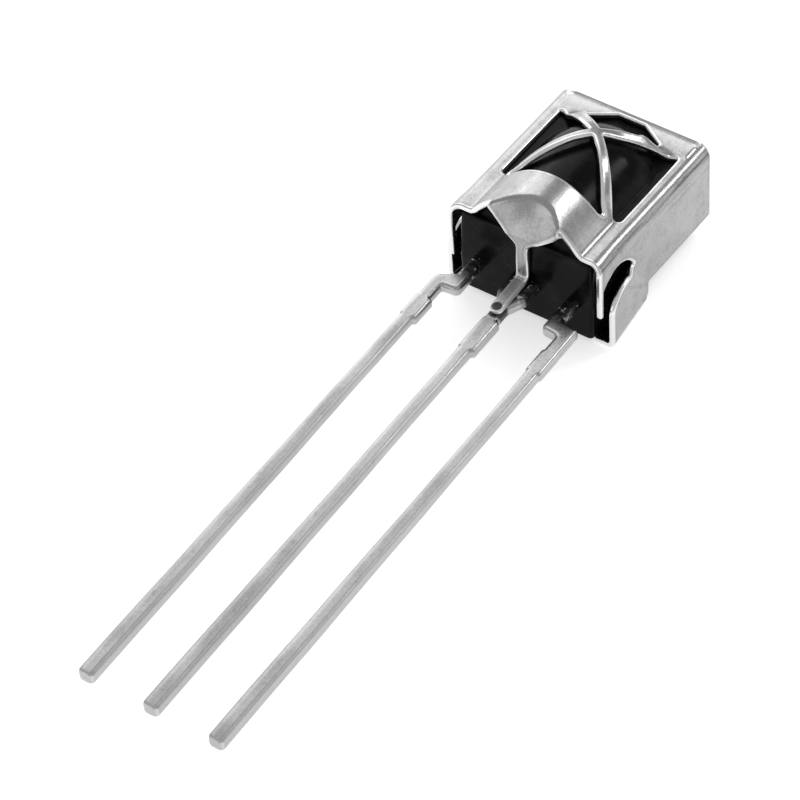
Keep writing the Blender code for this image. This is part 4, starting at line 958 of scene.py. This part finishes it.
# part of the node's name, material, two tones, metallic value, roughness and scale of the pattern
innerLooks = (
    ("photodiode_die", "diodeSilicon", (0.07, 0.09, 0.19), (0.13, 0.15, 0.26), 0.3, (0.12, 0.30), 3.0),
    ("receiver_ic_die", "chipSilicon", (0.24, 0.25, 0.27), (0.36, 0.36, 0.38), 0.6, (0.15, 0.35), 4.0),
    ("adhesive", "silverAdhesive", (0.48, 0.48, 0.49), (0.64, 0.64, 0.65), 0.4, (0.45, 0.75), 6.0),
    ("wire", "bondGold", (0.88, 0.62, 0.20), (0.98, 0.76, 0.32), 1.0, (0.14, 0.30), 8.0),
)
finishes = {look[0]: innerFinish(*look[1:]) for look in innerLooks}
for node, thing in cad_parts.items():
    for key, made in finishes.items():
        if key in node:
            for slot in thing.material_slots:
                slot.material = made
print("finishes done")


# Camera, as fitted to the photograph from the lead pitch and the shield's edges

camera = dict(azimuth=37.1466126, elevation=45.5426238, roll=-3.6102695, pixelsPerMm=29.3494197,
              nearness=0.00659697866, centre=(583.2540711, 204.9378067), aim=(0.0, 3.5, -1.5),
              picture=800, sensor=36)


def placeCamera():
    # the view axes follow from the three angles; the distance is 1 / nearness, and the eye is
    # set so that the aim point falls on its place in the picture
    c = camera
    middle = c["picture"] / 2
    az, el, roll = (math.radians(c[k]) for k in ("azimuth", "elevation", "roll"))
    back = np.array((math.sin(az) * math.cos(el), -math.cos(az) * math.cos(el), math.sin(el)))
    right = np.array((math.cos(az), math.sin(az), 0.0))
    up = np.cross(back, right)
    side = math.cos(roll) * right + math.sin(roll) * up
    top = -math.sin(roll) * right + math.cos(roll) * up
    eye = np.array(c["aim"]) + back / c["nearness"]
    shift = (c["centre"][0] - middle) / c["pixelsPerMm"] * side
    shift += (middle - c["centre"][1]) / c["pixelsPerMm"] * top
    eye = (eye - shift + (0, shiftY, shield["front"])) * mm
    data = bpy.data.cameras.new("photoCamera")
    data.sensor_width = c["sensor"]
    data.lens = c["sensor"] * c["pixelsPerMm"] / c["nearness"] / c["picture"]
    data.clip_start, data.clip_end = 0.001, 10
    thing = bpy.data.objects.new("photoCamera", data)
    thing.matrix_world = Matrix([[*row, 0] for row in np.stack([side, top, back], axis=1)] + [[0, 0, 0, 1]])
    thing.matrix_world.translation = Vector(eye)
    bpy.context.scene.collection.objects.link(thing)
    bpy.context.scene.camera = thing


# Floor, world and lamps

studio = dict(
    floorSize=2.0, floorDrop=0.00002, floorTone=0.86, floorRough=0.9, floorGlow=0.57, worldTone=0.58,
    lampAim=(0, 3.5, 3),
    # name, direction, distance, size, brightness of its face
    lamps=(("keyBox", (0.35, 0.56, 0.75), 0.16, (0.030, 0.050), 7.5),
           ("leftBox", (-0.80, 0.55, 0.22), 0.20, (0.10, 0.10), 1.25),
           ("topBox", (-0.556, 0.505, 0.66), 0.20, (0.11, 0.15), 1.50),
           ("rightBox", (0.78, 0.56, 0.20), 0.20, (0.10, 0.08), 0.85),
           ("frontBox", (-0.44, -0.86, 0.22), 0.20, (0.14, 0.09), 0.8)),
)


def buildStudio():
    # a sheet of white paper, an even pale room and rectangular lamps that all face the module
    s = studio
    size = s["floorSize"]
    mesh = bpy.data.meshes.new("paperFloor")
    corners = ((-size, -size), (size, -size), (size, size), (-size, size))
    mesh.from_pydata([(*corner, -s["floorDrop"]) for corner in corners], [], [(0, 1, 2, 3)])
    floor = bpy.data.objects.new("paperFloor", mesh)
    bpy.context.scene.collection.objects.link(floor)
    made, shader, start = finish("paper", specular=0.1)
    shader.inputs["Base Color"].default_value = (s["floorTone"],) * 3 + (1,)
    shader.inputs["Roughness"].default_value = s["floorRough"]
    shader.inputs["Emission Strength"].default_value = s["floorGlow"]
    # white for the camera and in reflections and glass, where the floor shows as a backdrop
    byCamera, inGloss, throughGlass = (start.node("LightPath", outlet=k) for k in (0, 3, 6))
    seen = byCamera + inGloss + throughGlass
    connect(shader, start, Emission_Color=seen.ramp(0.0, 1.0).tint((0.0, 0.0, 0.0), (1.0, 1.0, 1.0)))
    mesh.materials.append(made)
    world = bpy.data.worlds.new("softRoom")
    world.use_nodes = True
    bpy.context.scene.world = world
    world.node_tree.nodes["Background"].inputs["Color"].default_value = (s["worldTone"],) * 3 + (1,)
    centre = (Vector(s["lampAim"]) + Vector((0, shiftY, 0))) * mm
    for name, way, distance, extent, glow in s["lamps"]:
        light = bpy.data.lights.new(name, "AREA")
        light.shape = "RECTANGLE"
        light.size, light.size_y = extent
        light.energy = glow * math.pi * extent[0] * extent[1]
        lamp = bpy.data.objects.new(name, light)
        way = Vector(way).normalized()
        lamp.location = centre + way * distance
        lamp.rotation_euler = way.to_track_quat("Z", "Y").to_euler()
        bpy.context.scene.collection.objects.link(lamp)


placeCamera()
buildStudio()
bpy.context.scene.view_settings.view_transform = "Standard"
print("studio done")
